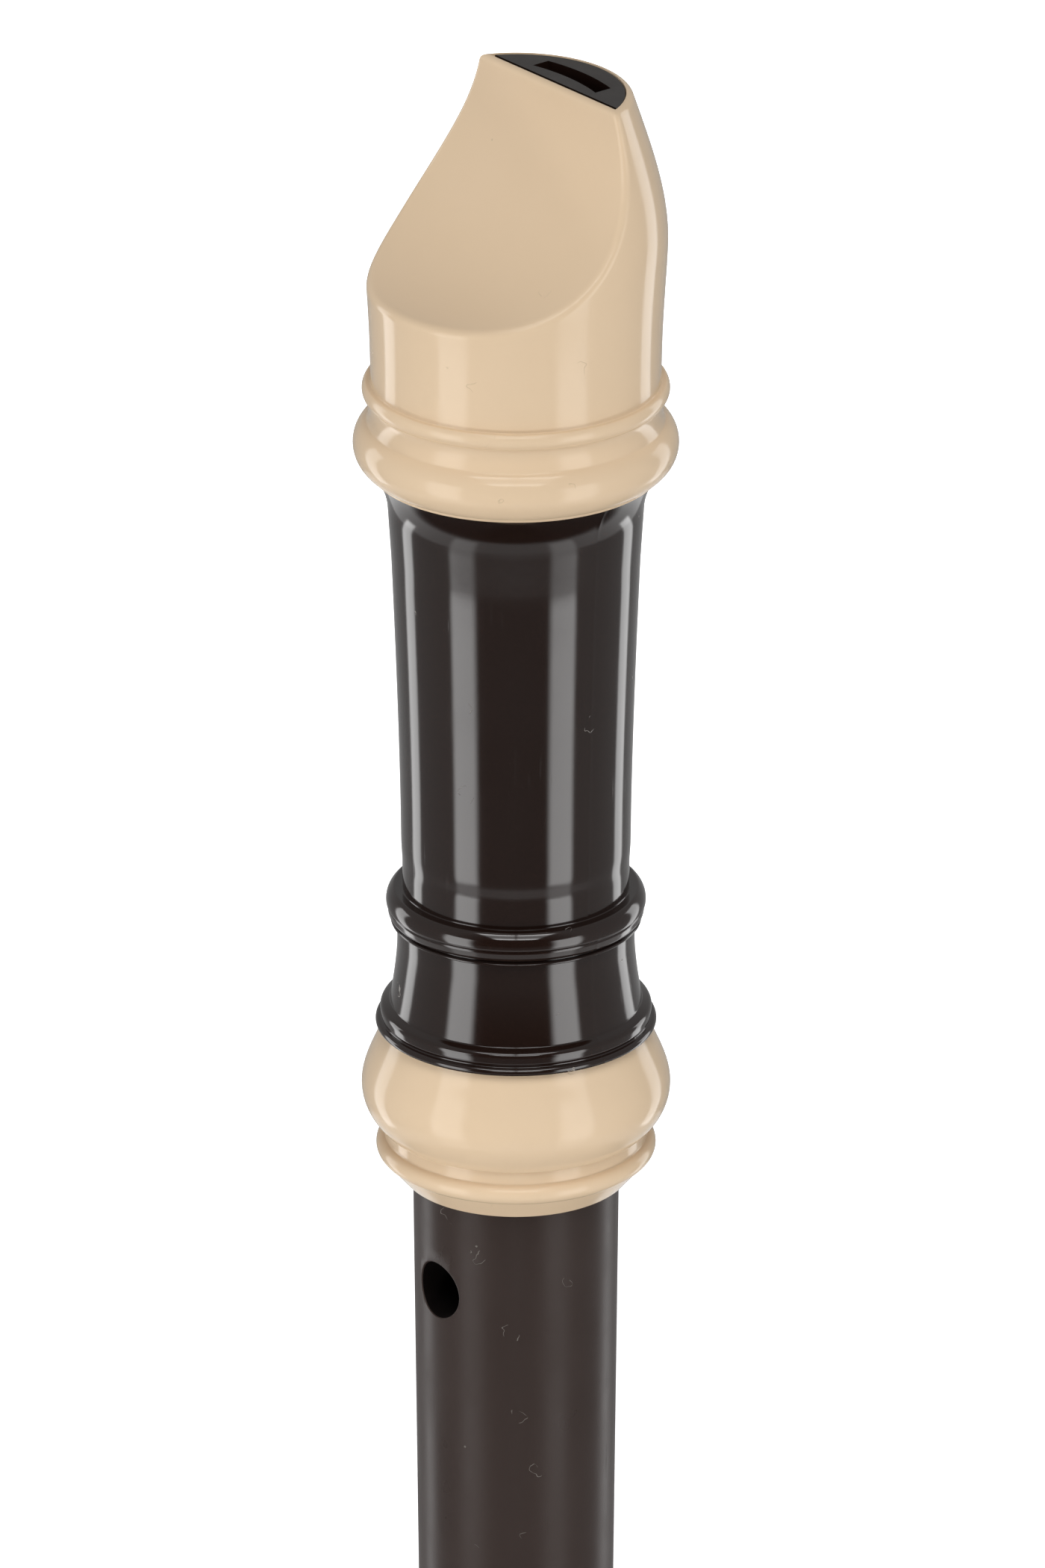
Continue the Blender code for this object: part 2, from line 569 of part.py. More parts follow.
def make_foot_end_ring(ivory, foot):
    ring = bead(END_RING_RADIUS, END_RING_HEIGHT, END_RING_SECTION, END_RING_TOP_RADIUS, END_CREASE, 5)
    base = bead(BASE_RADIUS, BASE_SECTION, BASE_SECTION, END_CREASE, BASE_FLAT_RADIUS, 5)
    base[-1] = (BASE_FLAT_RADIUS, 0)
    outline = [(END_RING_TOP_RADIUS, END_RING_LENGTH)] + ring + cove(ring[-1], base[0], END_COVE, 3) + base
    hole = SPIGOT_RADIUS + SEAT_GAP
    outline += [(hole, 0), (hole, END_RING_LENGTH)]
    turned("foot_end_ring", outline, material=ivory, parent=foot)


def joint_empty(name, height):
    empty = bpy.data.objects.new(name, None)
    empty.location.z = height * MM
    bpy.context.scene.collection.objects.link(empty)
    return empty


clear_scene()
ivory_abs = plastic("ivory_abs", "DFC9AB", 0.18)
black_abs = plastic("black_abs", "26221F", 0.12)
satin_abs = plastic("satin_black_abs", "37312E", 0.42)

head_empty = joint_empty("head", FOOT_LENGTH + MIDDLE_LENGTH)
make_beak_cap(ivory_abs, head_empty)
make_windway_block(black_abs, head_empty)
make_head_tube(black_abs, head_empty)
make_head_socket_ring(ivory_abs, head_empty)

make_middle_joint(satin_abs)

foot_empty = joint_empty("foot", 0.0)
make_foot_tube(black_abs, foot_empty)
make_foot_socket_ring(ivory_abs, foot_empty)
make_foot_end_ring(ivory_abs, foot_empty)
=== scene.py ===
from math import acos, ceil, cos, pi, radians, sin, sqrt

import bmesh
import bpy
import numpy as np
from mathutils import Matrix, Vector


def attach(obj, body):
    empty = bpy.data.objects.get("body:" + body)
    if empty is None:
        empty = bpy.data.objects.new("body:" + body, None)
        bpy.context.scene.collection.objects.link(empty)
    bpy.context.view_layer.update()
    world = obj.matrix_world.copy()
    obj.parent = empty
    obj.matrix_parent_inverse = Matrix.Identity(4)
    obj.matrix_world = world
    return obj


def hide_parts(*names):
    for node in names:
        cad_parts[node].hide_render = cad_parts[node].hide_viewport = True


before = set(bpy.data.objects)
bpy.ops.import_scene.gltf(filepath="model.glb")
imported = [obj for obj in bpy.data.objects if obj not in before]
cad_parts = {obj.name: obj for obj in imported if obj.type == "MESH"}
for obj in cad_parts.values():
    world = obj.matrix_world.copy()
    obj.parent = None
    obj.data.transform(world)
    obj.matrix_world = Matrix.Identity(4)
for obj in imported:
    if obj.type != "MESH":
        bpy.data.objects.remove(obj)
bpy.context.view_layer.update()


# Middle joint: the tube that the fingers play on, in satin brown-black ABS. It is moulded round a
# tapered core pin, with a tenon at each end, and each tenon has a relief between two lands. The
# holes are drilled through one wall from outside, and their edges are just broken.

MM = 0.001
MIDDLE_LOW = 55.0
MIDDLE_TOP = 156.7
TUBE_TOP_RADIUS = 8.0
TUBE_LOW_RADIUS = 6.9
UPPER_TENON = (6.4, 15.0)
LOWER_TENON = (5.2, 8.5)
TENON_RELIEF = 0.25
TENON_LAND = 2.2
TENON_CHAMFER = 0.3
BORE_LOW_RADIUS = 3.9
BORE_TOP_RADIUS = 5.0
THUMB_HOLE = (4.55, 8.0)
FINGER_HOLES = ((4.0, 13.7), (4.5, 29.7), (4.8, 45.7), (4.4, 63.7), (4.6, 79.7))
DOUBLE_HOLE = (2.9, 2.4)
DOUBLE_SPREAD = 3.6
MIDDLE_DOUBLE_DEPTH = 95.7
BROKEN_EDGE = 0.12
BIT_FACETS = 48
BIT_TURNS = (20, 40, 60)
BIT_PAST = 0.5
SMOOTHED_OVER = 8
SPACING_GROWTH = 0.3


def graded(outline, soft=0.05, turn=7.0, shortest=0.05, longest=1.5):
    """Round an outline's corners as a mould does, and space its points closely where it bends."""
    loop = np.array(outline + outline[:1])
    walked = np.concatenate(([0], np.cumsum(np.hypot(*np.diff(loop, axis=0).T))))
    fine = np.linspace(0, walked[-1], ceil(walked[-1] / (soft / 2)), endpoint=False)
    radius, height = (np.interp(fine, walked, loop[:, k]) for k in (0, 1))
    offsets = np.arange(-SMOOTHED_OVER, SMOOTHED_OVER + 1)
    weights = np.exp(-(offsets / (SMOOTHED_OVER / 4)) ** 2 / 2)
    weights /= weights.sum()
    radius, height = (sum(w * np.roll(line, o) for w, o in zip(weights, offsets))
                      for line in (radius, height))
    step = fine[1]
    ahead = np.unwrap(np.arctan2(np.roll(height, -1) - height, np.roll(radius, -1) - radius))
    bend = np.abs(np.roll(ahead, -1) - ahead)
    bend[-1] = bend[0]
    spacing = np.clip(radians(turn) * step / (bend + 1e-9), shortest, longest)
    for order in (range(len(fine)), range(len(fine) - 1, -1, -1)):
        last = spacing[order[0] - 1] if order[0] == 0 else spacing[0]
        for i in order:
            last = spacing[i] = min(spacing[i], last + SPACING_GROWTH * step)
    counted = np.concatenate(([0], np.cumsum(step / spacing)))
    places = np.linspace(0, counted[-1], ceil(counted[-1]), endpoint=False)
    whole = np.append(fine, walked[-1])
    along = np.interp(places, counted, whole)
    rows = [np.interp(along, whole, np.append(line, line[0])) for line in (radius, height)]
    return list(zip(*rows))


def spun(outline, facets=160):
    """Spin a closed outline of (radius, height) round the bore's axis."""
    bm = bmesh.new()
    ring = [bm.verts.new((r * MM, 0, z * MM)) for r, z in outline]
    edges = [bm.edges.new(pair) for pair in zip(ring, ring[1:] + ring[:1])]
    bmesh.ops.spin(bm, geom=ring + edges, cent=(0, 0, 0), axis=(0, 0, 1), angle=2 * pi,
                   steps=facets, use_merge=True)
    bmesh.ops.remove_doubles(bm, verts=bm.verts, dist=1e-7)
    bmesh.ops.recalc_face_normals(bm, faces=bm.faces)
    return bm


def piece(name, bm, sharp=35.0):
    """Turn a bmesh into a smooth-shaded object that sits at the origin."""
    mesh = bpy.data.meshes.new(name)
    bm.to_mesh(mesh)
    bm.free()
    mesh.shade_smooth()
    mesh.set_sharp_from_angle(angle=radians(sharp))
    obj = bpy.data.objects.new(name, mesh)
    bpy.context.scene.collection.objects.link(obj)
    return obj


def bridged(bm, sections):
    """Join closed loops of points into one capped solid."""
    loops = []
    for section in sections:
        verts = [bm.verts.new(Vector(point) * MM) for point in section]
        loops.append((verts, [bm.edges.new(pair) for pair in zip(verts, verts[1:] + verts[:1])]))
    for (_, upper), (_, lower) in zip(loops, loops[1:]):
        bmesh.ops.bridge_loops(bm, edges=upper + lower)
    for verts, _ in (loops[0], loops[-1]):
        bm.faces.new(verts)
    bmesh.ops.recalc_face_normals(bm, faces=bm.faces)


def keep_modified(obj, sharp=35.0):
    """Make what the modifiers show the piece's own mesh."""
    whole = obj.evaluated_get(bpy.context.evaluated_depsgraph_get())
    mesh = bpy.data.meshes.new_from_object(whole)
    obj.modifiers.clear()
    obj.data = mesh
    mesh.shade_smooth()
    mesh.set_sharp_from_angle(angle=radians(sharp))


def carve(obj, bm):
    """Take a closed bmesh out of a piece for good."""
    cutter = piece("cutter", bm)
    modifier = obj.modifiers.new("cut", 'BOOLEAN')
    modifier.operation = 'DIFFERENCE'
    modifier.solver = 'EXACT'
    modifier.object = cutter
    keep_modified(obj)
    bpy.data.objects.remove(cutter)


def drill_bit(bm, surface, diameter, x, z, side):
    """A bit that follows the tube's curve and breaks the hole's edge by the same amount all round."""
    rings = [(surface, 0.0), (BROKEN_EDGE, 0.0)]
    for angle in BIT_TURNS:
        rings.append((BROKEN_EDGE * (1 - sin(radians(angle))), BROKEN_EDGE * (1 - cos(radians(angle)))))
    depth, growth = rings[-1]
    rings.append((-BIT_PAST, growth + (BIT_PAST + depth) / BIT_PAST))
    sections = []
    for depth, growth in rings:
        radius = diameter / 2 + growth
        section = []
        for i in range(BIT_FACETS):
            angle = 2 * pi * i / BIT_FACETS
            across = x + radius * cos(angle)
            out = sqrt(surface ** 2 - across ** 2) - depth
            section.append((across, side * out, z + radius * sin(angle)))
        sections.append(section)
    bridged(bm, sections)


def tenon(size, shoulder, way):
    """The outer side of a tenon, from its shoulder to its end."""
    radius, length = size
    relief = radius - TENON_RELIEF
    steps = ((radius, 0), (radius, TENON_LAND), (relief, TENON_LAND + TENON_RELIEF),
             (relief, length - TENON_LAND - TENON_RELIEF), (radius, length - TENON_LAND),
             (radius, length - TENON_CHAMFER), (radius - TENON_CHAMFER, length))
    return [(r, shoulder + way * z) for r, z in steps]


def srgb(code):
    """A colour written as sRGB hex, turned to the linear values that shaders take."""
    channels = [int(code[i:i + 2], 16) / 255 for i in (0, 2, 4)]
    return [c / 12.92 if c <= 0.04045 else ((c + 0.055) / 1.055) ** 2.4 for c in channels] + [1.0]


def add_node(material, kind, inputs=(), **settings):
    """Add a shader node with its settings, and link or set its inputs."""
    node = material.node_tree.nodes.new("ShaderNode" + kind)
    for name, value in settings.items():
        setattr(node, name, value)
    for name, value in dict(inputs).items():
        if isinstance(value, bpy.types.NodeSocket):
            material.node_tree.links.new(value, node.inputs[name])
        else:
            node.inputs[name].default_value = value
    return node


def abs_plastic(name, colour, cloudy, shine, gloss, scuffed, grain, grain_depth, lint):
    """Injection-moulded ABS: an even colour that clouds a little, the mould's grain or polish in the
    surface, a few hair-fine scuffs along it, and curled hairs and specks of lint."""
    material = bpy.data.materials.new(name)
    material.use_nodes = True
    shader = material.node_tree.nodes["Principled BSDF"]
    shader.inputs["IOR"].default_value = 1.54
    shader.inputs["Specular IOR Level"].default_value = shine
    where = add_node(material, "TexCoord").outputs["Object"]

    # The melt's colour drifts over 12 mm or so
    cloud = add_node(material, "TexNoise", {"Vector": where, "Scale": 1 / (12 * MM), "Detail": 3.0})
    tint = add_node(material, "Mix", {0: cloud.outputs["Fac"], 6: srgb(cloudy), 7: srgb(colour)},
                    data_type='RGBA')

    # Scuffs are 0.1 mm wide, a few millimetres long, and lie in rare patches
    along = add_node(material, "Mapping", {"Vector": where, "Rotation": (0.2, 0.1, 0.0),
                                           "Scale": (1.0, 1.0, 0.05)})
    line = add_node(material, "TexNoise", {"Vector": along.outputs["Vector"], "Scale": 1 / (0.2 * MM),
                                           "Detail": 0.0})
    line = add_node(material, "MapRange", {"Value": line.outputs["Fac"], "From Min": 0.73, "From Max": 0.8})
    patch = add_node(material, "TexNoise", {"Vector": where, "Scale": 1 / (9 * MM), "Detail": 1.0})
    patch = add_node(material, "MapRange", {"Value": patch.outputs["Fac"], "From Min": 0.52, "From Max": 0.7})
    worn = add_node(material, "Math", {0: line.outputs["Result"], 1: patch.outputs["Result"]},
                    operation='MULTIPLY')

    # Lint hairs are 0.05 mm thick: short, bent arcs round points that lie about 5 mm apart
    bends = add_node(material, "TexNoise", {"Vector": where, "Scale": 1 / (0.9 * MM), "Detail": 1.0})
    shaken = add_node(material, "VectorMath", {0: bends.outputs["Color"], 1: (0.5, 0.5, 0.5)},
                      operation='SUBTRACT')
    shaken = add_node(material, "VectorMath", {0: shaken.outputs["Vector"], "Scale": 1.6 * MM},
                      operation='SCALE')
    shaken = add_node(material, "VectorMath", {0: shaken.outputs["Vector"], 1: where}, operation='ADD')
    cells = add_node(material, "TexVoronoi", {"Vector": shaken.outputs["Vector"], "Scale": 1 / (5 * MM)})
    shell = add_node(material, "Math", {0: cells.outputs["Distance"], 1: 0.12}, operation='SUBTRACT')
    shell = add_node(material, "Math", {0: shell.outputs["Value"]}, operation='ABSOLUTE')
    hair = add_node(material, "MapRange", {"Value": shell.outputs["Value"], "From Min": 0.007,
                                           "From Max": 0.003})
    cuts = add_node(material, "TexNoise", {"Vector": where, "Scale": 1 / (1.3 * MM), "Detail": 0.0})
    cuts = add_node(material, "MapRange", {"Value": cuts.outputs["Fac"], "From Min": 0.6, "From Max": 0.65})
    hair = add_node(material, "Math", {0: hair.outputs["Result"], 1: cuts.outputs["Result"]},
                    operation='MULTIPLY')
    specks = add_node(material, "TexVoronoi", {"Vector": where, "Scale": 1 / (7 * MM)})
    speck = add_node(material, "MapRange", {"Value": specks.outputs["Distance"], "From Min": 0.016,
                                            "From Max": 0.01})
    speck = add_node(material, "Math", {0: speck.outputs["Result"], 1: hair.outputs["Value"]},
                     operation='MAXIMUM')
    dust = add_node(material, "Mix", {0: speck.outputs["Value"], 6: tint.outputs[2], 7: srgb(lint)},
                    data_type='RGBA')
    material.node_tree.links.new(dust.outputs[2], shader.inputs["Base Color"])

    # Gloss: the mould's polish, dulled where it is scuffed and under lint
    drift = add_node(material, "TexNoise", {"Vector": where, "Scale": 1 / (5 * MM), "Detail": 4.0})
    polish = add_node(material, "MapRange", {"Value": drift.outputs["Fac"], "From Min": 0.3, "From Max": 0.7,
                                             "To Min": gloss * 0.85, "To Max": gloss * 1.2})
    dull = add_node(material, "Math", {0: worn.outputs["Value"], 1: scuffed, 2: polish.outputs["Result"]},
                    operation='MULTIPLY_ADD')
    dull = add_node(material, "Math", {0: speck.outputs["Value"], 1: 0.4, 2: dull.outputs["Value"]},
                    operation='MULTIPLY_ADD')
    material.node_tree.links.new(dull.outputs["Value"], shader.inputs["Roughness"])

    # Relief: grain from the mould, scuffs cut in, lint standing up
    skin = add_node(material, "TexNoise", {"Vector": where, "Scale": 1 / (grain * MM), "Detail": 2.0})
    relief = add_node(material, "Bump", {"Height": skin.outputs["Fac"], "Distance": grain_depth * MM})
    relief = add_node(material, "Bump", {"Height": worn.outputs["Value"], "Distance": 0.002 * MM,
                                         "Normal": relief.outputs["Normal"]}, invert=True)
    relief = add_node(material, "Bump", {"Height": speck.outputs["Value"], "Distance": 0.01 * MM,
                                         "Normal": relief.outputs["Normal"]})
    material.node_tree.links.new(relief.outputs["Normal"], shader.inputs["Normal"])
    return material


# Satin ABS keeps the fine grain of a blasted mould, so it shows no mirror image, only a soft sheen
satin_abs = abs_plastic("satin_brown_black_abs", colour="382F2C", cloudy="342B28", shine=0.11, gloss=0.32,
                        scuffed=0.08, grain=0.16, grain_depth=0.004, lint="6E6964")
# The bore and the holes' walls keep drag marks and take no polish; their much darker colour is painted shade,
# standing in for the shade inside the tube and the holes
bore_abs_painted_shade = abs_plastic("drawn_black_abs_bore_painted_shade", colour="0E0B0A", cloudy="0C0909", shine=0.05, gloss=0.8,
                       scuffed=0.1, grain=0.3, grain_depth=0.01, lint="2A2522")

upper = tenon(UPPER_TENON, MIDDLE_TOP, 1)
lower = tenon(LOWER_TENON, MIDDLE_LOW, -1)
outline = upper[::-1] + [(TUBE_TOP_RADIUS, MIDDLE_TOP), (TUBE_LOW_RADIUS, MIDDLE_LOW)] + lower
outline += [(BORE_LOW_RADIUS, lower[-1][1]), (BORE_TOP_RADIUS, upper[-1][1])]
middle = piece("middle_joint_tube", spun(graded(outline)))


def tube_radius(z):
    share = (z - MIDDLE_LOW) / (MIDDLE_TOP - MIDDLE_LOW)
    return TUBE_LOW_RADIUS + (TUBE_TOP_RADIUS - TUBE_LOW_RADIUS) * share


bits = bmesh.new()
thumb_z = MIDDLE_TOP - THUMB_HOLE[1]
drill_bit(bits, tube_radius(thumb_z), THUMB_HOLE[0], 0, thumb_z, 1)
for diameter, depth in FINGER_HOLES:
    drill_bit(bits, tube_radius(MIDDLE_TOP - depth), diameter, 0, MIDDLE_TOP - depth, -1)
for way, diameter in zip((-1, 1), DOUBLE_HOLE):
    double_z = MIDDLE_TOP - MIDDLE_DOUBLE_DEPTH
    drill_bit(bits, tube_radius(double_z), diameter, way * DOUBLE_SPREAD / 2, double_z, -1)
carve(middle, bits)
middle.data.materials.append(satin_abs)
middle.data.materials.append(bore_abs_painted_shade)
# Painted shade: faces of the bore and of the holes' walls take the darker bore material
for face in middle.data.polygons:
    depth = tube_radius(face.center.z / MM) * MM - face.center.xy.length
    drilled_in_painted_shade = depth > 0.3 * MM and MIDDLE_LOW + 1 < face.center.z / MM < MIDDLE_TOP - 1
    if drilled_in_painted_shade or face.center.xy.length < (BORE_TOP_RADIUS + 0.1) * MM and -0.2 < face.normal.z < 0.2:
        face.material_index = 1
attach(middle, "middle")
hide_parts("middle_joint")


# Head joint: barrel, beads and the core under the cap, in one moulding of polished brown-black ABS.
# The core carries the windway's roof, the barrel has the window with its sloping ramp, and a thin
# sleeve below the rim holds the socket. The mould halves meet at the sides and leave a hair line.

TIP = 246.2
CAP_EDGE = TIP - 30.6
LARGE_BEAD_Z = TIP - 66.4
RIM_END = TIP - 76.7
CORE_TOP = TIP - 0.06
CORE_TIP_RADIUS = 8.3
CORE_RADIUS = 9.85
CORE_STRAIGHT = 0.8
SHOULDER_DEPTH = 11.7
BARREL_TOP_RADIUS = 9.82
BARREL_SINK = (9.545, CAP_EDGE - 7.2)
BARREL_LOW = (8.86, LARGE_BEAD_Z + 5.8)
BARREL_CURVE = 1.41
LOW_SINK = ((8.842, LARGE_BEAD_Z + 4.7), (8.758, LARGE_BEAD_Z + 3.4))
FLARE_RADIUS = 10.93
FLARE_HEIGHT = 2.9
FLARE_SIDE = ((0.41, 0.22), (0.9, 0.56))
LARGE_BEAD = (10.03, 1.28)
BEAD_CUTS = (9.44, 10.0)
FACE_GROOVE = ((9.86, -0.33), (9.94, -0.42))
FACE_BEAD = (9.88, 0.3)
FACE_DROP = 0.85
RIDGE = ((9.36, -1.3), (9.54, -1.37), (9.68, -1.46), (9.7, -1.58), (9.6, -1.64))
NECK_RADIUS = 9.17
NECK_TOP = LARGE_BEAD_Z - 1.66
NECK_PLAIN = 1.8
NECK_CURVE = 1.5
NECK_FLARE = (9.75, RIM_END + 1.94)
STEP_BEAD = (10.5, 0.45)
STEP_RISE = 1.3
STEP_START = 10.26
STEP_FOOT = ((10.49, 0.8), (10.42, 0.72), (10.42, 0.56))
RIM_BEAD = (10.87, 0.32)
RIM_RISE = 0.22
RIM_END_RADIUS = 10.8
SLEEVE_RADIUS = 8.2
SLEEVE_END = MIDDLE_TOP + 3.5
SOCKET_RADIUS = 6.55
SOCKET_TOP = MIDDLE_TOP + 15.3
HEAD_BORE = 5.2
BEAK_SIDE = ((0.5, 0.36), (1.0, 0.68))
SCOOP_RADIUS = 14.3
SCOOP_CENTRE = (11.3, TIP - 1.1)
CORE_INSET = 0.88
WINDWAY_ARCH = 16.0
ENTRY = (7.5, 5.15, 6.65)
EXIT = (7.0, 5.2, 6.15)
WINDOW_TOP = CAP_EDGE - 4.8
WINDOW_HEIGHT = 3.8
LABIUM_RISE = 5.5
RAMP_LENGTH = 12.0
RAMP_END_RISE = 9.63
PARTING_WIDTH = 0.06
PARTING_HEIGHT = 0.012
PARTED_FROM = 8.5
CUTTER_HALF = 15.0
CUTTER_PAST = (5.0, 3.0)
WINDOW_CUT = -13.0
WINDWAY_PAST = (0.01, 0.5)
FACED_WITHIN = 0.03


def bead(size, height, above=0.0, below=0.0, steps=16):
    """A round bead, cut off at the radii above and below it, or at its middle if they lie deeper."""
    outer, section = size
    centre = outer - section
    start = acos(min(1.0, max(0.0, (above - centre) / section)))
    end = -acos(min(1.0, max(0.0, (below - centre) / section)))
    angles = [start + (end - start) * i / steps for i in range(steps + 1)]
    return [(centre + section * cos(a), height + section * sin(a)) for a in angles]


def curve(start, end, handles, steps=24):
    """A cubic curve whose two handles are fractions of the way across and along."""
    inner = [tuple(s + f * (e - s) for s, e, f in zip(start, end, handle)) for handle in handles]
    points = []
    for i in range(steps + 1):
        t = i / steps
        weights = ((1 - t) ** 3, 3 * t * (1 - t) ** 2, 3 * t * t * (1 - t), t ** 3)
        corners = (start, inner[0], inner[1], end)
        points.append(tuple(sum(w * p[k] for w, p in zip(weights, corners)) for k in (0, 1)))
    return points


def taper(start, end, exponent, steps=24):
    """A hollow taper that falls fastest at its start."""
    points = []
    for i in range(steps + 1):
        t = i / steps
        points.append((end[0] + (start[0] - end[0]) * (1 - t) ** exponent,
                       start[1] + (end[1] - start[1]) * t))
    return points


def arch(width, distance, steps=24):
    """Points across the windway at this distance from the axis, on the -Y side, arched outwards."""
    xs = [width * (i / steps - 0.5) for i in range(steps + 1)]
    return [(x, WINDWAY_ARCH - distance - sqrt(WINDWAY_ARCH ** 2 - x * x)) for x in xs]


def scoop_cutter(inset):
    """The hollow under the beak, grown by an inset."""
    radius = SCOOP_RADIUS + inset
    y, z = SCOOP_CENTRE
    out, up = CUTTER_PAST
    outline = [(y + radius * cos(a), z + radius * sin(a)) for a in
               [pi + pi / 2 * i / 60 for i in range(61)]]
    outline += [(y + out, z - radius), (y + out, TIP + up), (y - radius, TIP + up)]
    bm = bmesh.new()
    bridged(bm, [[(x, a, b) for a, b in outline] for x in (-CUTTER_HALF, CUTTER_HALF)])
    return bm


def windway_cutter():
    """The windway, from its entry in the tip to the window, with an arched roof."""
    bm = bmesh.new()
    sections = []
    for (width, _, roof), z in ((ENTRY, TIP + WINDWAY_PAST[0]), (EXIT, WINDOW_TOP - WINDWAY_PAST[1])):
        sections.append([(x, y, z) for x, y in arch(width, roof) + [(width / 2, 0.0), (-width / 2, 0.0)]])
    bridged(bm, sections)
    return bm


def window_cutter():
    """The window through the wall, with the ramp that slopes down to the labium's edge."""
    edge = WINDOW_TOP - WINDOW_HEIGHT
    end = edge - RAMP_LENGTH
    inside = -HEAD_BORE / 2
    sections = []
    for (x, labium), (_, ramp) in zip(arch(EXIT[0], LABIUM_RISE), arch(EXIT[0], RAMP_END_RISE)):
        sections.append([(x, WINDOW_CUT, WINDOW_TOP), (x, inside, WINDOW_TOP), (x, inside, edge),
                         (x, labium, edge), (x, ramp, end), (x, WINDOW_CUT, end)])
    bm = bmesh.new()
    bridged(bm, sections)
    return bm


def parting_line(bm):
    """Raise the hair line where the mould halves meet, at both sides of the piece."""
    for side in (-PARTING_WIDTH, PARTING_WIDTH):
        bmesh.ops.bisect_plane(bm, geom=bm.verts[:] + bm.edges[:] + bm.faces[:], dist=1e-7,
                               plane_co=(0, side * MM, 0), plane_no=(0, 1, 0))
    for vert in bm.verts:
        if abs(vert.co.y) < 1e-6 and abs(vert.co.x) > PARTED_FROM * MM and vert.co.z < CAP_EDGE * MM:
            vert.co.x += PARTING_HEIGHT * MM * (1 if vert.co.x > 0 else -1)


# Polished ABS is a dark mirror of 4 percent; the brown shows only where no lamp is mirrored
black_abs = abs_plastic("polished_brown_black_abs", colour="201511", cloudy="1D120E", shine=0.5, gloss=0.09,
                        scuffed=0.1, grain=1.1, grain_depth=0.0012, lint="8A8580")

flare_low = CAP_EDGE - FLARE_HEIGHT
outline = [(HEAD_BORE, CORE_TOP), (CORE_TIP_RADIUS, CORE_TOP)]
outline += curve((CORE_TIP_RADIUS, TIP - CORE_STRAIGHT), (CORE_RADIUS, TIP - SHOULDER_DEPTH), BEAK_SIDE)
outline.append((CORE_RADIUS, CAP_EDGE))
outline += curve((FLARE_RADIUS, CAP_EDGE - 0.03), (BARREL_TOP_RADIUS, flare_low), FLARE_SIDE)
outline += taper(BARREL_SINK, BARREL_LOW, BARREL_CURVE)
outline += LOW_SINK
large = bead(LARGE_BEAD, LARGE_BEAD_Z, *BEAD_CUTS)
outline.append((LOW_SINK[1][0], large[0][1]))
outline += large + [(r, LARGE_BEAD_Z + dz) for r, dz in FACE_GROOVE]
outline += bead(FACE_BEAD, LARGE_BEAD_Z - FACE_DROP, FACE_BEAD[0])
outline += [(r, LARGE_BEAD_Z + dz) for r, dz in RIDGE] + [(NECK_RADIUS, NECK_TOP)]
outline += taper(NECK_FLARE, (NECK_RADIUS, NECK_TOP - NECK_PLAIN), NECK_CURVE)[::-1]
outline += bead(STEP_BEAD, RIM_END + STEP_RISE, STEP_START, STEP_BEAD[0])
outline += [(r, RIM_END + dz) for r, dz in STEP_FOOT]
outline += bead(RIM_BEAD, RIM_END + RIM_RISE, 0.0, RIM_END_RADIUS)[:-1]
outline += [(RIM_END_RADIUS, RIM_END), (SLEEVE_RADIUS, RIM_END), (SLEEVE_RADIUS, SLEEVE_END)]
outline += [(SOCKET_RADIUS, SLEEVE_END), (SOCKET_RADIUS, SOCKET_TOP), (HEAD_BORE, SOCKET_TOP)]
head_bm = spun(graded(outline))
parting_line(head_bm)
head = piece("head_joint_barrel", head_bm)
for cutter in (scoop_cutter(CORE_INSET), windway_cutter(), window_cutter()):
    carve(head, cutter)
head.data.materials.append(black_abs)

# The end of the core is faced off after moulding, which leaves it matt
faced_abs = abs_plastic("faced_brown_black_abs", colour="302D2B", cloudy="2C2927", shine=0.4, gloss=0.5,
                        scuffed=0.05, grain=0.08, grain_depth=0.004, lint="4E4A47")
head.data.materials.append(faced_abs)
for face in head.data.polygons:
    if face.center.z > (CORE_TOP - FACED_WITHIN) * MM and face.normal.z > 0.9:
        face.material_index = 1
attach(head, "head")
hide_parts("head_tube")


# Windway block: a plug of the same black ABS that fills the top of the bore. A key along it stands
# up into the windway, and its arched top is the windway's floor. It is pressed in from above before
# the cap goes on, and only its matt end and its lower face can be seen.

BLOCK_FIT = 0.004

plug = HEAD_BORE - BLOCK_FIT
sections = []
for (width, floor, _), z in ((ENTRY, CORE_TOP), (EXIT, WINDOW_TOP)):
    key = width - 2 * BLOCK_FIT
    start = -acos(key / 2 / plug)
    around = [start + (pi - 2 * start) * i / 64 for i in range(65)]
    section = arch(key, floor) + [(plug * cos(a), plug * sin(a)) for a in around]
    sections.append([(x, y, z) for x, y in section])
block_bm = bmesh.new()
bridged(block_bm, sections)
block = piece("windway_plug", block_bm)
carve(block, scoop_cutter(CORE_INSET))
block.data.materials.append(black_abs)
block.data.materials.append(faced_abs)
for face in block.data.polygons:
    if face.center.z > (CORE_TOP - FACED_WITHIN) * MM and face.normal.z > 0.9:
        face.material_index = 1
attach(block, "head")
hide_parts("windway_block")


# Beak cap: a thin shell of polished ivory ABS that is pushed over the core and glued. The player's
# lower lip rests in its scoop. A thin bead, a cove and a heavy ring are moulded round its lower end,
# and every edge that the lips touch is rounded.

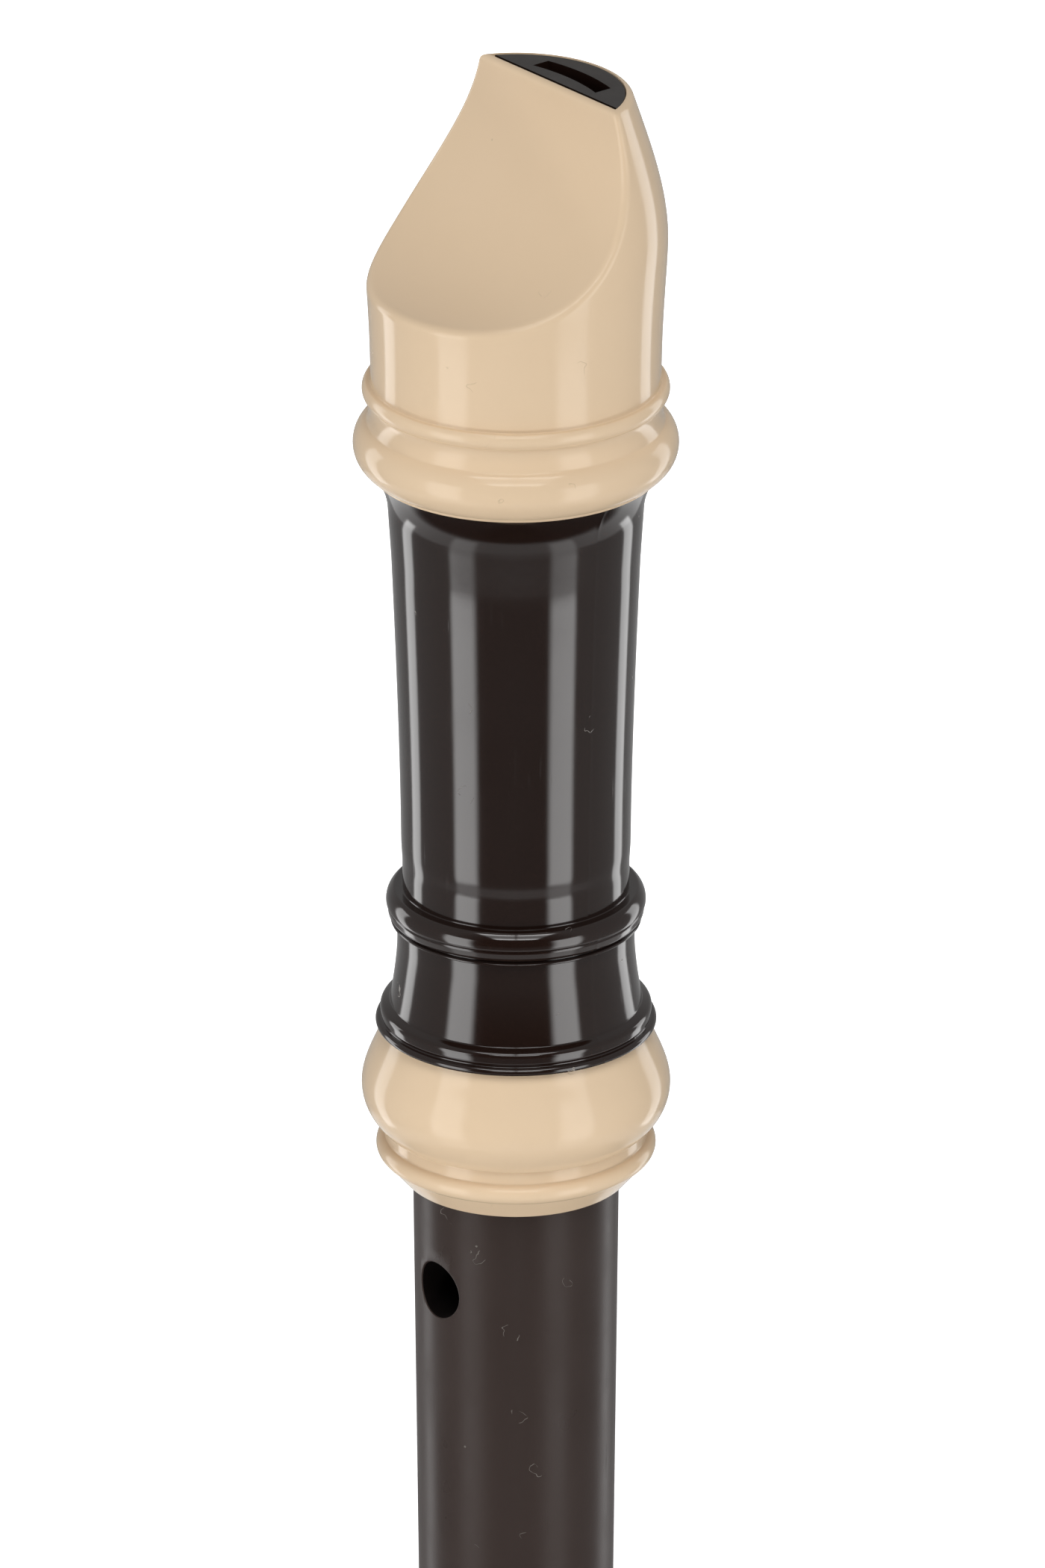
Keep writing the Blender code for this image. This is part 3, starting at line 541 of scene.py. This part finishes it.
TIP_RADIUS = 8.8
SHOULDER_RADIUS = 11.57
CAP_RADIUS = 11.1
CAP_BEAD = (11.76, 0.8)
CAP_BEAD_START = 11.48
CAP_BEAD_Z = CAP_EDGE + 6.65
CAP_BEAD_CREASE = 11.35
CAP_RING = (12.46, 2.2)
CAP_RING_Z = CAP_EDGE + 2.2
CAP_RING_CREASE = 11.4
CAP_COVE = 0.15
CAP_END_RADIUS = 11.18
CAP_INNER_RADIUS = 10.2
BEAK_FALL = ((0.0, 0.19), (1.0, 0.53))
CAP_SHELL = 0.5
TIP_ROUNDING = 0.45
LIP_ROUNDING = 0.6
ROUNDING_WIDENS = (4.5, 0.5)
SIDE_PAST_TIP = (0.8, 3.0)
SIDE_STEPS = 60
OPENING_RADIUS = 8.36
OPENING_CHORD = -3.52
SCOOP_REACH = 17.7
EDGE_COLUMNS = 72
FRONT_COLUMNS = 64
SIDE_ROWS = 36
SIDE_CROWDING = 1.7
SCOOP_ROWS = 44
SCOOP_CROWDING = 0.8
TIP_ROWS = 8
SETTLING_STEPS = 6
CORNER_PATCH = 2.5
CORNER_ROUNDS = 60
CORNER_BEND = 25.0


def cove(start, end, depth, steps=16):
    """The points between two ends along a shallow hollow."""
    points = []
    for i in range(1, steps):
        t = i / steps
        points.append((start[0] + (end[0] - start[0]) * t - 4 * depth * t * (1 - t),
                       start[1] + (end[1] - start[1]) * t))
    return points


shoulder = TIP - SHOULDER_DEPTH
thin = bead(CAP_BEAD, CAP_BEAD_Z, CAP_BEAD_START, CAP_BEAD_CREASE)
plain_low = thin[0][1]
side = [(TIP_RADIUS - SIDE_PAST_TIP[0], TIP + SIDE_PAST_TIP[1])]
side += curve((TIP_RADIUS, TIP), (SHOULDER_RADIUS, shoulder), BEAK_SIDE, SIDE_STEPS)
side += curve((SHOULDER_RADIUS, shoulder), (CAP_RADIUS, plain_low), BEAK_FALL, SIDE_STEPS)[1:]
side_radii, side_heights = np.array(side)[::-1].T


def beak_radius(z):
    return np.interp(z, side_heights, side_radii)


def outside_by(points):
    """How far points lie outside the rounded beak: turned side, scoop and flat tip in one measure."""
    x, y, z = points.T
    slope = (beak_radius(z + 0.05) - beak_radius(z - 0.05)) / 0.1
    walls = np.array([(np.hypot(x, y) - beak_radius(z)) / np.sqrt(1 + slope ** 2),
                      SCOOP_RADIUS - np.hypot(y - SCOOP_CENTRE[0], z - SCOOP_CENTRE[1]), z - TIP])
    rounding = np.interp(TIP - z, ROUNDING_WIDENS[::-1], (TIP_ROUNDING, LIP_ROUNDING))
    past = np.maximum(walls + rounding, 0)
    return np.minimum(walls.max(axis=0), -rounding) + np.sqrt((past ** 2).sum(axis=0))


def settled(points):
    """Move points onto the rounded beak along its slope."""
    for _ in range(SETTLING_STEPS):
        far = outside_by(points)
        slope = np.array([(outside_by(points + step) - far) / 1e-3 for step in np.eye(3) * 1e-3])
        points = points - (slope * far / np.maximum((slope ** 2).sum(axis=0), 0.05)).T
    return points


def scoop_y(z):
    return SCOOP_CENTRE[0] - np.sqrt(np.maximum(0.0, SCOOP_RADIUS ** 2 - (z - SCOOP_CENTRE[1]) ** 2))


def scoop_edge(turns):
    """The heights at which the side of the beak meets the scoop, in these directions from the axis."""
    low, high = np.full(len(turns), TIP - SCOOP_REACH), np.full(len(turns), TIP)
    for _ in range(40):
        z = (low + high) / 2
        solid = (z < SCOOP_CENTRE[1] - SCOOP_RADIUS) | (beak_radius(z) * np.sin(turns) < scoop_y(z))
        low, high = np.where(solid, z, low), np.where(solid, high, z)
    return low


def scoop_angle(y, z):
    return np.arctan2(z - SCOOP_CENTRE[1], y - SCOOP_CENTRE[0]) % (2 * pi)


heavy = bead(CAP_RING, CAP_RING_Z, CAP_RING_CREASE, CAP_END_RADIUS, 24)
rows_start = TIP - SCOOP_REACH
outline = [(float(beak_radius(z)), z) for z in np.linspace(rows_start + 1, plain_low, 12)]
outline += thin + cove(thin[-1], heavy[0], CAP_COVE) + heavy
outline += [(CAP_END_RADIUS, CAP_EDGE), (CAP_INNER_RADIUS, CAP_EDGE), (CAP_INNER_RADIUS, rows_start + 1)]
turned_rows = [(radius, height) for radius, height in graded(outline, turn=9.0)
               if height < rows_start and radius > CAP_INNER_RADIUS + 0.2]

# Columns are evenly spaced along the scoop's edge, and then round the front of the tip
tip_y = float(scoop_y(TIP))
corner = -acos(sqrt(TIP_RADIUS ** 2 - tip_y ** 2) / TIP_RADIUS)
inner_corner = -acos(sqrt(OPENING_RADIUS ** 2 - OPENING_CHORD ** 2) / OPENING_RADIUS)
fine = np.linspace(corner, pi / 2, 4000)
heights = scoop_edge(fine)
radii = beak_radius(heights)
path = np.array([radii * np.cos(fine), radii * np.sin(fine), heights])
walked = np.concatenate(([0], np.cumsum(np.linalg.norm(np.diff(path), axis=0))))
half = np.interp(np.linspace(0, walked[-1], EDGE_COLUMNS + 1), walked, fine)
edge_turns = np.concatenate((half, pi - half[-2::-1]))
front_turns = np.linspace(pi - corner, 2 * pi + corner, FRONT_COLUMNS + 1)[1:-1]
columns = []
for i, (turn, top) in enumerate(zip(edge_turns, scoop_edge(edge_turns))):
    share = i / (2 * EDGE_COLUMNS)
    across = (cos(pi * share) + 1 - 2 * share) / 2
    rise = 1 - (1 - np.linspace(0, 1, SIDE_ROWS + 1)[1:]) ** SIDE_CROWDING
    z = rows_start + (top - rows_start) * rise
    side_part = np.array([beak_radius(z) * cos(turn), beak_radius(z) * sin(turn), z])
    edge_x, edge_y, edge_z = side_part[:, -1]
    s = np.linspace(0, 1, SCOOP_ROWS + 1)[1:]
    s -= SCOOP_CROWDING * np.sin(2 * pi * s) / (2 * pi)
    fall = scoop_angle(edge_y, edge_z)
    angle = fall + (scoop_angle(tip_y, TIP) - fall) * s
    scoop_part = np.array([edge_x + (TIP_RADIUS * cos(corner) * across - edge_x) * s,
                           SCOOP_CENTRE[0] + SCOOP_RADIUS * np.cos(angle),
                           SCOOP_CENTRE[1] + SCOOP_RADIUS * np.sin(angle)])
    inner = (OPENING_RADIUS * cos(inner_corner) * across, OPENING_CHORD, TIP)
    columns.append((side_part, scoop_part, inner))
for i, turn in enumerate(front_turns, 1):
    z = rows_start + (TIP - rows_start) * rise
    side_part = np.array([beak_radius(z) * cos(turn), beak_radius(z) * sin(turn), z])
    angle = pi - inner_corner + (pi + 2 * inner_corner) * i / FRONT_COLUMNS
    inner = (OPENING_RADIUS * cos(angle), OPENING_RADIUS * sin(angle), TIP)
    columns.append((side_part, np.repeat(side_part[:, -1:], SCOOP_ROWS, axis=1), inner))

turns = np.concatenate((edge_turns, front_turns))
grid = []
for turn, (side_part, scoop_part, inner) in zip(turns, columns):
    flat = np.linspace(scoop_part[:, -1], inner, TIP_ROWS + 1)[1:]
    upper_part = settled(np.concatenate((side_part.T, scoop_part.T, flat)))
    lower_part = np.array([(r * cos(turn), r * sin(turn), z) for r, z in turned_rows[::-1]])
    grid.append(np.concatenate((lower_part, upper_part)))

cap_bm = bmesh.new()
across_count, up_count = len(grid), len(grid[0]) - 1
bmesh.ops.create_grid(cap_bm, x_segments=across_count, y_segments=up_count, size=1)
for vert in cap_bm.verts:
    column = round((vert.co.x + 1) / 2 * across_count) % across_count
    vert.co = Vector(grid[column][round((vert.co.y + 1) / 2 * up_count)]) * MM
bmesh.ops.remove_doubles(cap_bm, verts=cap_bm.verts, dist=2e-7)
# The rows tangle at the two corners of the tip, so points are moved between their neighbours there
for way in (-1, 1):
    middle = Vector((way * TIP_RADIUS * cos(corner), tip_y, TIP)) * MM
    near = [e for e in cap_bm.edges if (e.verts[0].co - middle).length < CORNER_PATCH * MM]
    for _ in range(CORNER_ROUNDS):
        cap_bm.normal_update()
        bent = [e for e in near if e.calc_face_angle(0.0) > radians(CORNER_BEND)]
        moved = list({v for e in bent for f in e.link_faces for v in f.verts})
        if not moved:
            break
        places = [sum((e.other_vert(v).co for e in v.link_edges), v.co) / (len(v.link_edges) + 1)
                  for v in moved]
        for vert, place in zip(moved, settled(np.array(places) / MM)):
            vert.co = Vector(place) * MM
cap = piece("beak_cap_shell", cap_bm)
shell = cap.modifiers.new("wall", 'SOLIDIFY')
shell.thickness = CAP_SHELL * MM
shell.offset = -1
keep_modified(cap)

# Polished ivory ABS is pale enough that its gloss shows only as soft, light bands
ivory_abs = abs_plastic("polished_ivory_abs", colour="DEC6A8", cloudy="DAC1A1", shine=0.19, gloss=0.1,
                        scuffed=0.08, grain=1.3, grain_depth=0.0012, lint="C8B294")
cap.data.materials.append(ivory_abs)
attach(cap, "head")
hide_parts("beak_cap")


# Head's socket ring: a bulb and a bead of polished ivory ABS. It is turned, slipped over the thin
# sleeve of the head and glued against the black rim. Its floor keeps the sleeve's end off the body,
# and its straight lip butts on the middle joint's shoulder.

SEAM = 0.03
RING_FACETS = 192
RING_TOP_RADIUS = 10.25
BULB = (11.96, RIM_END - 5.1)
BULB_END = (10.5, RIM_END - 8.3)
RING_NECK_RADIUS = 10.15
RING_BEAD = (10.85, 0.8)
RING_BEAD_RISE = 2.55
LIP_TOP_RADIUS = 10.35
LIP_RADIUS = 8.8
RING_FLOOR = 3.2
BULB_RISE = ((0.18, 0.27), (1.0, 0.65))
BULB_FALL = ((0.0, 0.44), (0.45, 0.75))

outline = curve((RING_TOP_RADIUS, RIM_END - SEAM), BULB, BULB_RISE)
outline += curve(BULB, BULB_END, BULB_FALL)[1:]
outline.append((RING_NECK_RADIUS, BULB_END[1]))
outline += bead(RING_BEAD, MIDDLE_TOP + RING_BEAD_RISE, RING_NECK_RADIUS, LIP_TOP_RADIUS)
outline += [(LIP_RADIUS, MIDDLE_TOP), (SOCKET_RADIUS, MIDDLE_TOP), (SOCKET_RADIUS, MIDDLE_TOP + RING_FLOOR)]
outline += [(SLEEVE_RADIUS + SEAM, MIDDLE_TOP + RING_FLOOR), (SLEEVE_RADIUS + SEAM, RIM_END - SEAM)]
socket_ring = piece("ivory_socket_ring", spun(graded(outline), RING_FACETS))
socket_ring.data.materials.append(ivory_abs)
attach(socket_ring, "head")
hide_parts("head_socket_ring")


# Foot joint: a waisted tube of polished black ABS with a flare and a bead above its end ring. The
# last double hole is drilled in its front. A sleeve round the socket carries one ivory ring, and a
# plain spigot inside the other stops just short of the ground.

FOOT_RIM_TOP = 45.5
FOOT_RIM = (9.6, 0.6)
FOOT_NECK = (8.35, 44.1)
WAIST = (7.3, 22.0)
FOOT_CURVE = 1.6
END_TOP = 8.0
END_BEAD = (9.2, 0.7)
FOOT_FLARE_RADIUS = 8.5
FOOT_FLARE_CURVE = 1.8
SPIGOT_RADIUS = 6.6
SPIGOT_RISE = 0.6
FOOT_BORE = (3.6, 3.8)
FOOT_SOCKET_RADIUS = 5.35
FOOT_SOCKET_FLOOR = MIDDLE_LOW - 8.8
FOOT_SLEEVE = (6.85, MIDDLE_LOW - 2.9)
FOOT_DOUBLE_Z = MIDDLE_LOW - 14.5

end_bead_z = END_TOP + SEAM + END_BEAD[1]
outline = [FOOT_SLEEVE, (FOOT_SLEEVE[0], FOOT_RIM_TOP)]
outline += bead(FOOT_RIM, FOOT_RIM_TOP - FOOT_RIM[1])
outline += taper(FOOT_NECK, WAIST, FOOT_CURVE)
outline += taper((FOOT_FLARE_RADIUS, end_bead_z + END_BEAD[1]), WAIST, FOOT_FLARE_CURVE)[-2::-1]
outline += bead(END_BEAD, end_bead_z, FOOT_FLARE_RADIUS)[1:]
outline += [(SPIGOT_RADIUS, END_TOP + SEAM), (SPIGOT_RADIUS, SPIGOT_RISE), (FOOT_BORE[0], SPIGOT_RISE)]
outline += [(FOOT_BORE[1], FOOT_SOCKET_FLOOR), (FOOT_SOCKET_RADIUS, FOOT_SOCKET_FLOOR)]
outline.append((FOOT_SOCKET_RADIUS, FOOT_SLEEVE[1]))
foot = piece("foot_joint_tube", spun(graded(outline)))
fall = (FOOT_NECK[1] - FOOT_DOUBLE_Z) / (FOOT_NECK[1] - WAIST[1])
foot_surface = WAIST[0] + (FOOT_NECK[0] - WAIST[0]) * (1 - fall) ** FOOT_CURVE
bits = bmesh.new()
for way, diameter in zip((-1, 1), DOUBLE_HOLE):
    drill_bit(bits, foot_surface, diameter, way * DOUBLE_SPREAD / 2, FOOT_DOUBLE_Z, -1)
carve(foot, bits)
foot.data.materials.append(black_abs)
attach(foot, "foot")
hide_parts("foot_tube")


# Foot's socket ring: a smaller bulb and bead of polished ivory ABS, glued on the foot's sleeve. Its
# top butts on the lower shoulder of the middle joint.

FOOT_LIP = (7.5, MIDDLE_LOW)
FOOT_LIP_TOP_RADIUS = 8.6
FOOT_BEAD = (9.1, 0.7)
FOOT_BEAD_Z = MIDDLE_LOW - 1.75
FOOT_RING_NECK = (8.5, 0.7)
FOOT_BULB = (10.2, 49.7)
FOOT_RING_END = (9.3, FOOT_RIM_TOP + SEAM)
FOOT_RING_FLOOR = 2.6
FOOT_BULB_RISE = ((0.65, 0.14), (1.0, 0.56))
FOOT_BULB_FALL = ((0.0, 0.41), (0.44, 0.72))

outline = [FOOT_LIP] + bead(FOOT_BEAD, FOOT_BEAD_Z, FOOT_LIP_TOP_RADIUS, FOOT_RING_NECK[0])
neck_low = FOOT_BEAD_Z - FOOT_BEAD[1] - FOOT_RING_NECK[1]
outline += curve((FOOT_RING_NECK[0], neck_low), FOOT_BULB, FOOT_BULB_RISE)
outline += curve(FOOT_BULB, FOOT_RING_END, FOOT_BULB_FALL)[1:]
outline += [(FOOT_SLEEVE[0] + SEAM, FOOT_RING_END[1]), (FOOT_SLEEVE[0] + SEAM, MIDDLE_LOW - FOOT_RING_FLOOR)]
outline += [(FOOT_SOCKET_RADIUS, MIDDLE_LOW - FOOT_RING_FLOOR), (FOOT_SOCKET_RADIUS, MIDDLE_LOW)]
foot_ring = piece("ivory_foot_ring", spun(graded(outline), RING_FACETS))
foot_ring.data.materials.append(ivory_abs)
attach(foot_ring, "foot")
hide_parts("foot_socket_ring")


# End ring: the heaviest ivory ring, pushed over the foot's spigot. It has a round ring above, a
# cove, and a rounded base, and the recorder stands on its flat lower face.

END_RING = (10.3, 1.6)
END_RING_Z = 5.5
END_RING_TOP_RADIUS = 8.9
END_CREASE = 9.4
END_COVE = 0.2
BASE = (9.9, 0.9)
BASE_FLAT_RADIUS = 9.2

ring = bead(END_RING, END_RING_Z, END_RING_TOP_RADIUS, END_CREASE)
base = bead(BASE, BASE[1], END_CREASE, BASE_FLAT_RADIUS)[:-1]
outline = [(END_RING_TOP_RADIUS, END_TOP)] + ring + cove(ring[-1], base[0], END_COVE) + base
outline += [(BASE_FLAT_RADIUS, 0.0), (SPIGOT_RADIUS + SEAM, 0.0), (SPIGOT_RADIUS + SEAM, END_TOP)]
end_ring = piece("ivory_end_ring", spun(graded(outline), RING_FACETS))
end_ring.data.materials.append(ivory_abs)
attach(end_ring, "foot")
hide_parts("foot_end_ring")


# Studio: a white table and background, and five lamps that no mirror shows. What the gloss mirrors
# is drawn in the world: two wide and two narrow strip boxes, tubes overhead, and grey card between.
# Bearings count from the camera, positive to its right, and rises from level, both in degrees.

AZIMUTH = radians(231.0)
ELEVATION = radians(23.3)
CAMERA_DISTANCE = 1.3
AIM_ASIDE = 0.505 * MM
AIM_HEIGHT = 189.3 * MM
LENS = 388.27
SENSOR = 36.0
SKY = 0.18
LIT_CENTRE = Vector((0, 0, 0.18))
# Each lamp's bearing, rise, distance and size in metres, and power in watts
LAMPS = {"key_softbox": (10, 55, 1.0, 0.6, 5.9), "left_fill": (-77, 7, 0.9, 0.6, 3.5),
         "right_fill": (75, 5, 0.9, 0.6, 2.0), "rear_fill": (180, 5, 0.9, 0.6, 2.5),
         "table_bounce": (0, -28, 0.33, 0.05, 0.28)}
# What is mirrored: low and high bearing with the softness of each, the same for the rise, and radiance
STRIPS = (((-64, -39.5, 3, 4), (-28.5, 21, 1, 2), 4.2), ((33.5, 58.5, 4, 3), (-28.5, 21, 1, 2), 4.0),
          ((-127, -112, 2, 2), (-36, 21, 2, 2), 3.1), ((118, 134, 2, 2), (-36, 21, 2, 2), 2.6),
          ((-64, -39.5, 3, 4), (-44, -29, 4, 1), 1.0), ((33.5, 58.5, 4, 3), (-44, -29, 4, 1), 1.0))
# Overhead: places across and forwards as shares of the height above the recorder
TUBE_HALVES = ((-0.39, -0.012, 0.03, 0.006), (0.012, 0.39, 0.006, 0.03))
TUBE_BANKS = (((0.19, 0.35, 0.03, 0.03), 7.0), ((0.81, 1.07, 0.03, 0.03), 7.0),
              ((0.35, 0.81, 0.03, 0.03), 1.8))


def aimed(obj, place, direction):
    obj.location = place
    obj.rotation_euler = direction.to_track_quat('-Z', 'Y').to_euler()
    bpy.context.scene.collection.objects.link(obj)


for name, (bearing, rise, distance, size, power) in LAMPS.items():
    angle, rise = AZIMUTH + radians(bearing), radians(rise)
    way = Vector((sin(angle) * cos(rise), -cos(angle) * cos(rise), sin(rise)))
    light = bpy.data.lights.new(name, 'AREA')
    light.size = size
    light.energy = power
    lamp = bpy.data.objects.new(name, light)
    lamp.visible_camera = False
    lamp.visible_glossy = False
    aimed(lamp, LIT_CENTRE + way * distance, -way)

table_bm = bmesh.new()
bmesh.ops.create_grid(table_bm, x_segments=1, y_segments=1, size=6.0)
table = piece("white_table", table_bm)
# Matt white laminate: it takes a soft shadow and mirrors nothing
laminate = bpy.data.materials.new("white_table_laminate")
laminate.use_nodes = True
surface = laminate.node_tree.nodes["Principled BSDF"]
surface.inputs["Base Color"].default_value = srgb("E8E8E8")
surface.inputs["Roughness"].default_value = 0.9
surface.inputs["Specular IOR Level"].default_value = 0.0
surface.inputs["Emission Color"].default_value = srgb("FFFFFF")
# To the camera the table glows white away from the recorder; the glow is weaker towards the foot, which
# paints a grey disc of shade round it, and its real shadow shows there too
where = add_node(laminate, "TexCoord").outputs["Object"]
away = add_node(laminate, "VectorMath", {0: where}, operation='LENGTH').outputs["Value"]
glow_with_painted_shade = add_node(laminate, "MapRange", {"Value": away, "From Min": 0.03, "From Max": 0.45, "To Min": 0.3,
                                       "To Max": 1.0}).outputs["Result"]
seen = add_node(laminate, "LightPath")
glow_with_painted_shade = add_node(laminate, "Math", {0: seen.outputs["Is Camera Ray"], 1: glow_with_painted_shade}, operation='MULTIPLY')
laminate.node_tree.links.new(glow_with_painted_shade.outputs["Value"], surface.inputs["Emission Strength"])
table.data.materials.append(laminate)
table.visible_glossy = False

world = bpy.data.worlds.new("white_studio")
bpy.context.scene.world = world
world.use_nodes = True


def window(value, low, high, soft_low, soft_high):
    """1 between two values, with an edge of its own softness at each."""
    edges = []
    for outer, inner in ((low - soft_low, low + soft_low), (high + soft_high, high - soft_high)):
        edges.append(add_node(world, "MapRange", {"Value": value, "From Min": outer, "From Max": inner},
                              interpolation_type='SMOOTHSTEP').outputs["Result"])
    both = add_node(world, "Math", {0: edges[0], 1: edges[1]}, operation='MULTIPLY')
    return both.outputs["Value"]


def lit(base, where, heights, radiance):
    """Add a light of this radiance to what is mirrored."""
    area = add_node(world, "Math", {0: where, 1: heights}, operation='MULTIPLY').outputs["Value"]
    both = add_node(world, "Math", {0: area, 1: radiance, 2: base}, operation='MULTIPLY_ADD')
    return both.outputs["Value"]


ray = add_node(world, "TexCoord").outputs["Generated"]
right = Vector((cos(AZIMUTH), sin(AZIMUTH), 0))
towards = Vector((sin(AZIMUTH), -cos(AZIMUTH), 0))
shares = [add_node(world, "VectorMath", {0: ray, 1: axis}, operation='DOT_PRODUCT').outputs["Value"]
          for axis in (right, towards, Vector((0, 0, 1)))]
turned = add_node(world, "Math", {0: shares[0], 1: shares[1]}, operation='ARCTAN2').outputs["Value"]
bearing = add_node(world, "Math", {0: turned}, operation='DEGREES').outputs["Value"]
aside = add_node(world, "Math", {0: bearing}, operation='ABSOLUTE').outputs["Value"]
rise = add_node(world, "Math", {0: shares[2]}, operation='ARCSINE').outputs["Value"]
rise = add_node(world, "Math", {0: rise}, operation='DEGREES').outputs["Value"]

# Grey card: dark behind the camera and paler to the sides, with dim light from the table below it
front = add_node(world, "MapRange", {"Value": rise, "From Min": -18.0, "From Max": -5.0, "To Min": 0.16,
                                     "To Max": 0.02}).outputs["Result"]
mirrored = add_node(world, "MapRange", {"Value": aside, "From Min": 28.0, "From Max": 62.0, "To Min": front,
                                        "To Max": 0.38}).outputs["Result"]
above_table = add_node(world, "MapRange", {"Value": rise, "From Min": -52.0, "From Max": -44.0,
                                           "To Min": 0.15})
mirrored = add_node(world, "Math", {0: mirrored, 1: above_table.outputs["Result"]}, operation='MULTIPLY')
mirrored = lit(mirrored.outputs["Value"], window(rise, -47, -30, 3, 1), 1.0, 0.5)
for sides, heights, radiance in STRIPS:
    mirrored = lit(mirrored, window(bearing, *sides), window(rise, *heights), radiance)

# Two banks of tubes overhead and a dimmer panel between, with a dark frame across their middle
ceiling = [add_node(world, "Math", {0: share, 1: shares[2]}, operation='DIVIDE').outputs["Value"]
           for share in shares[:2]]
above = add_node(world, "Math", {0: shares[2], 1: 0.0}, operation='GREATER_THAN').outputs["Value"]
for half in TUBE_HALVES:
    across = window(ceiling[0], *half)
    across = add_node(world, "Math", {0: across, 1: above}, operation='MULTIPLY').outputs["Value"]
    for bank, radiance in TUBE_BANKS:
        mirrored = lit(mirrored, across, window(ceiling[1], *bank), radiance)

seen = add_node(world, "LightPath")
plain = add_node(world, "MapRange", {"Value": seen.outputs["Is Camera Ray"], "To Min": SKY, "To Max": 1.0})
plain = add_node(world, "Math", {0: plain.outputs["Result"], 1: seen.outputs["Is Transmission Ray"]},
                 operation='MAXIMUM').outputs["Value"]
sky = world.node_tree.nodes["Background"]
sky.inputs["Color"].default_value = srgb("FFFFFF")
level = add_node(world, "Mix", {0: seen.outputs["Is Glossy Ray"], 2: plain, 3: mirrored})
world.node_tree.links.new(level.outputs[0], sky.inputs["Strength"])

scene = bpy.context.scene
scene.view_settings.view_transform = 'Standard'
camera_data = bpy.data.cameras.new("camera")
camera_data.lens = LENS
camera_data.sensor_width = SENSOR
camera = bpy.data.objects.new("camera", camera_data)
aim = right * AIM_ASIDE + Vector((0, 0, AIM_HEIGHT))
back = towards * cos(ELEVATION) + Vector((0, 0, sin(ELEVATION)))
aimed(camera, aim + back * CAMERA_DISTANCE, -back)
scene.camera = camera
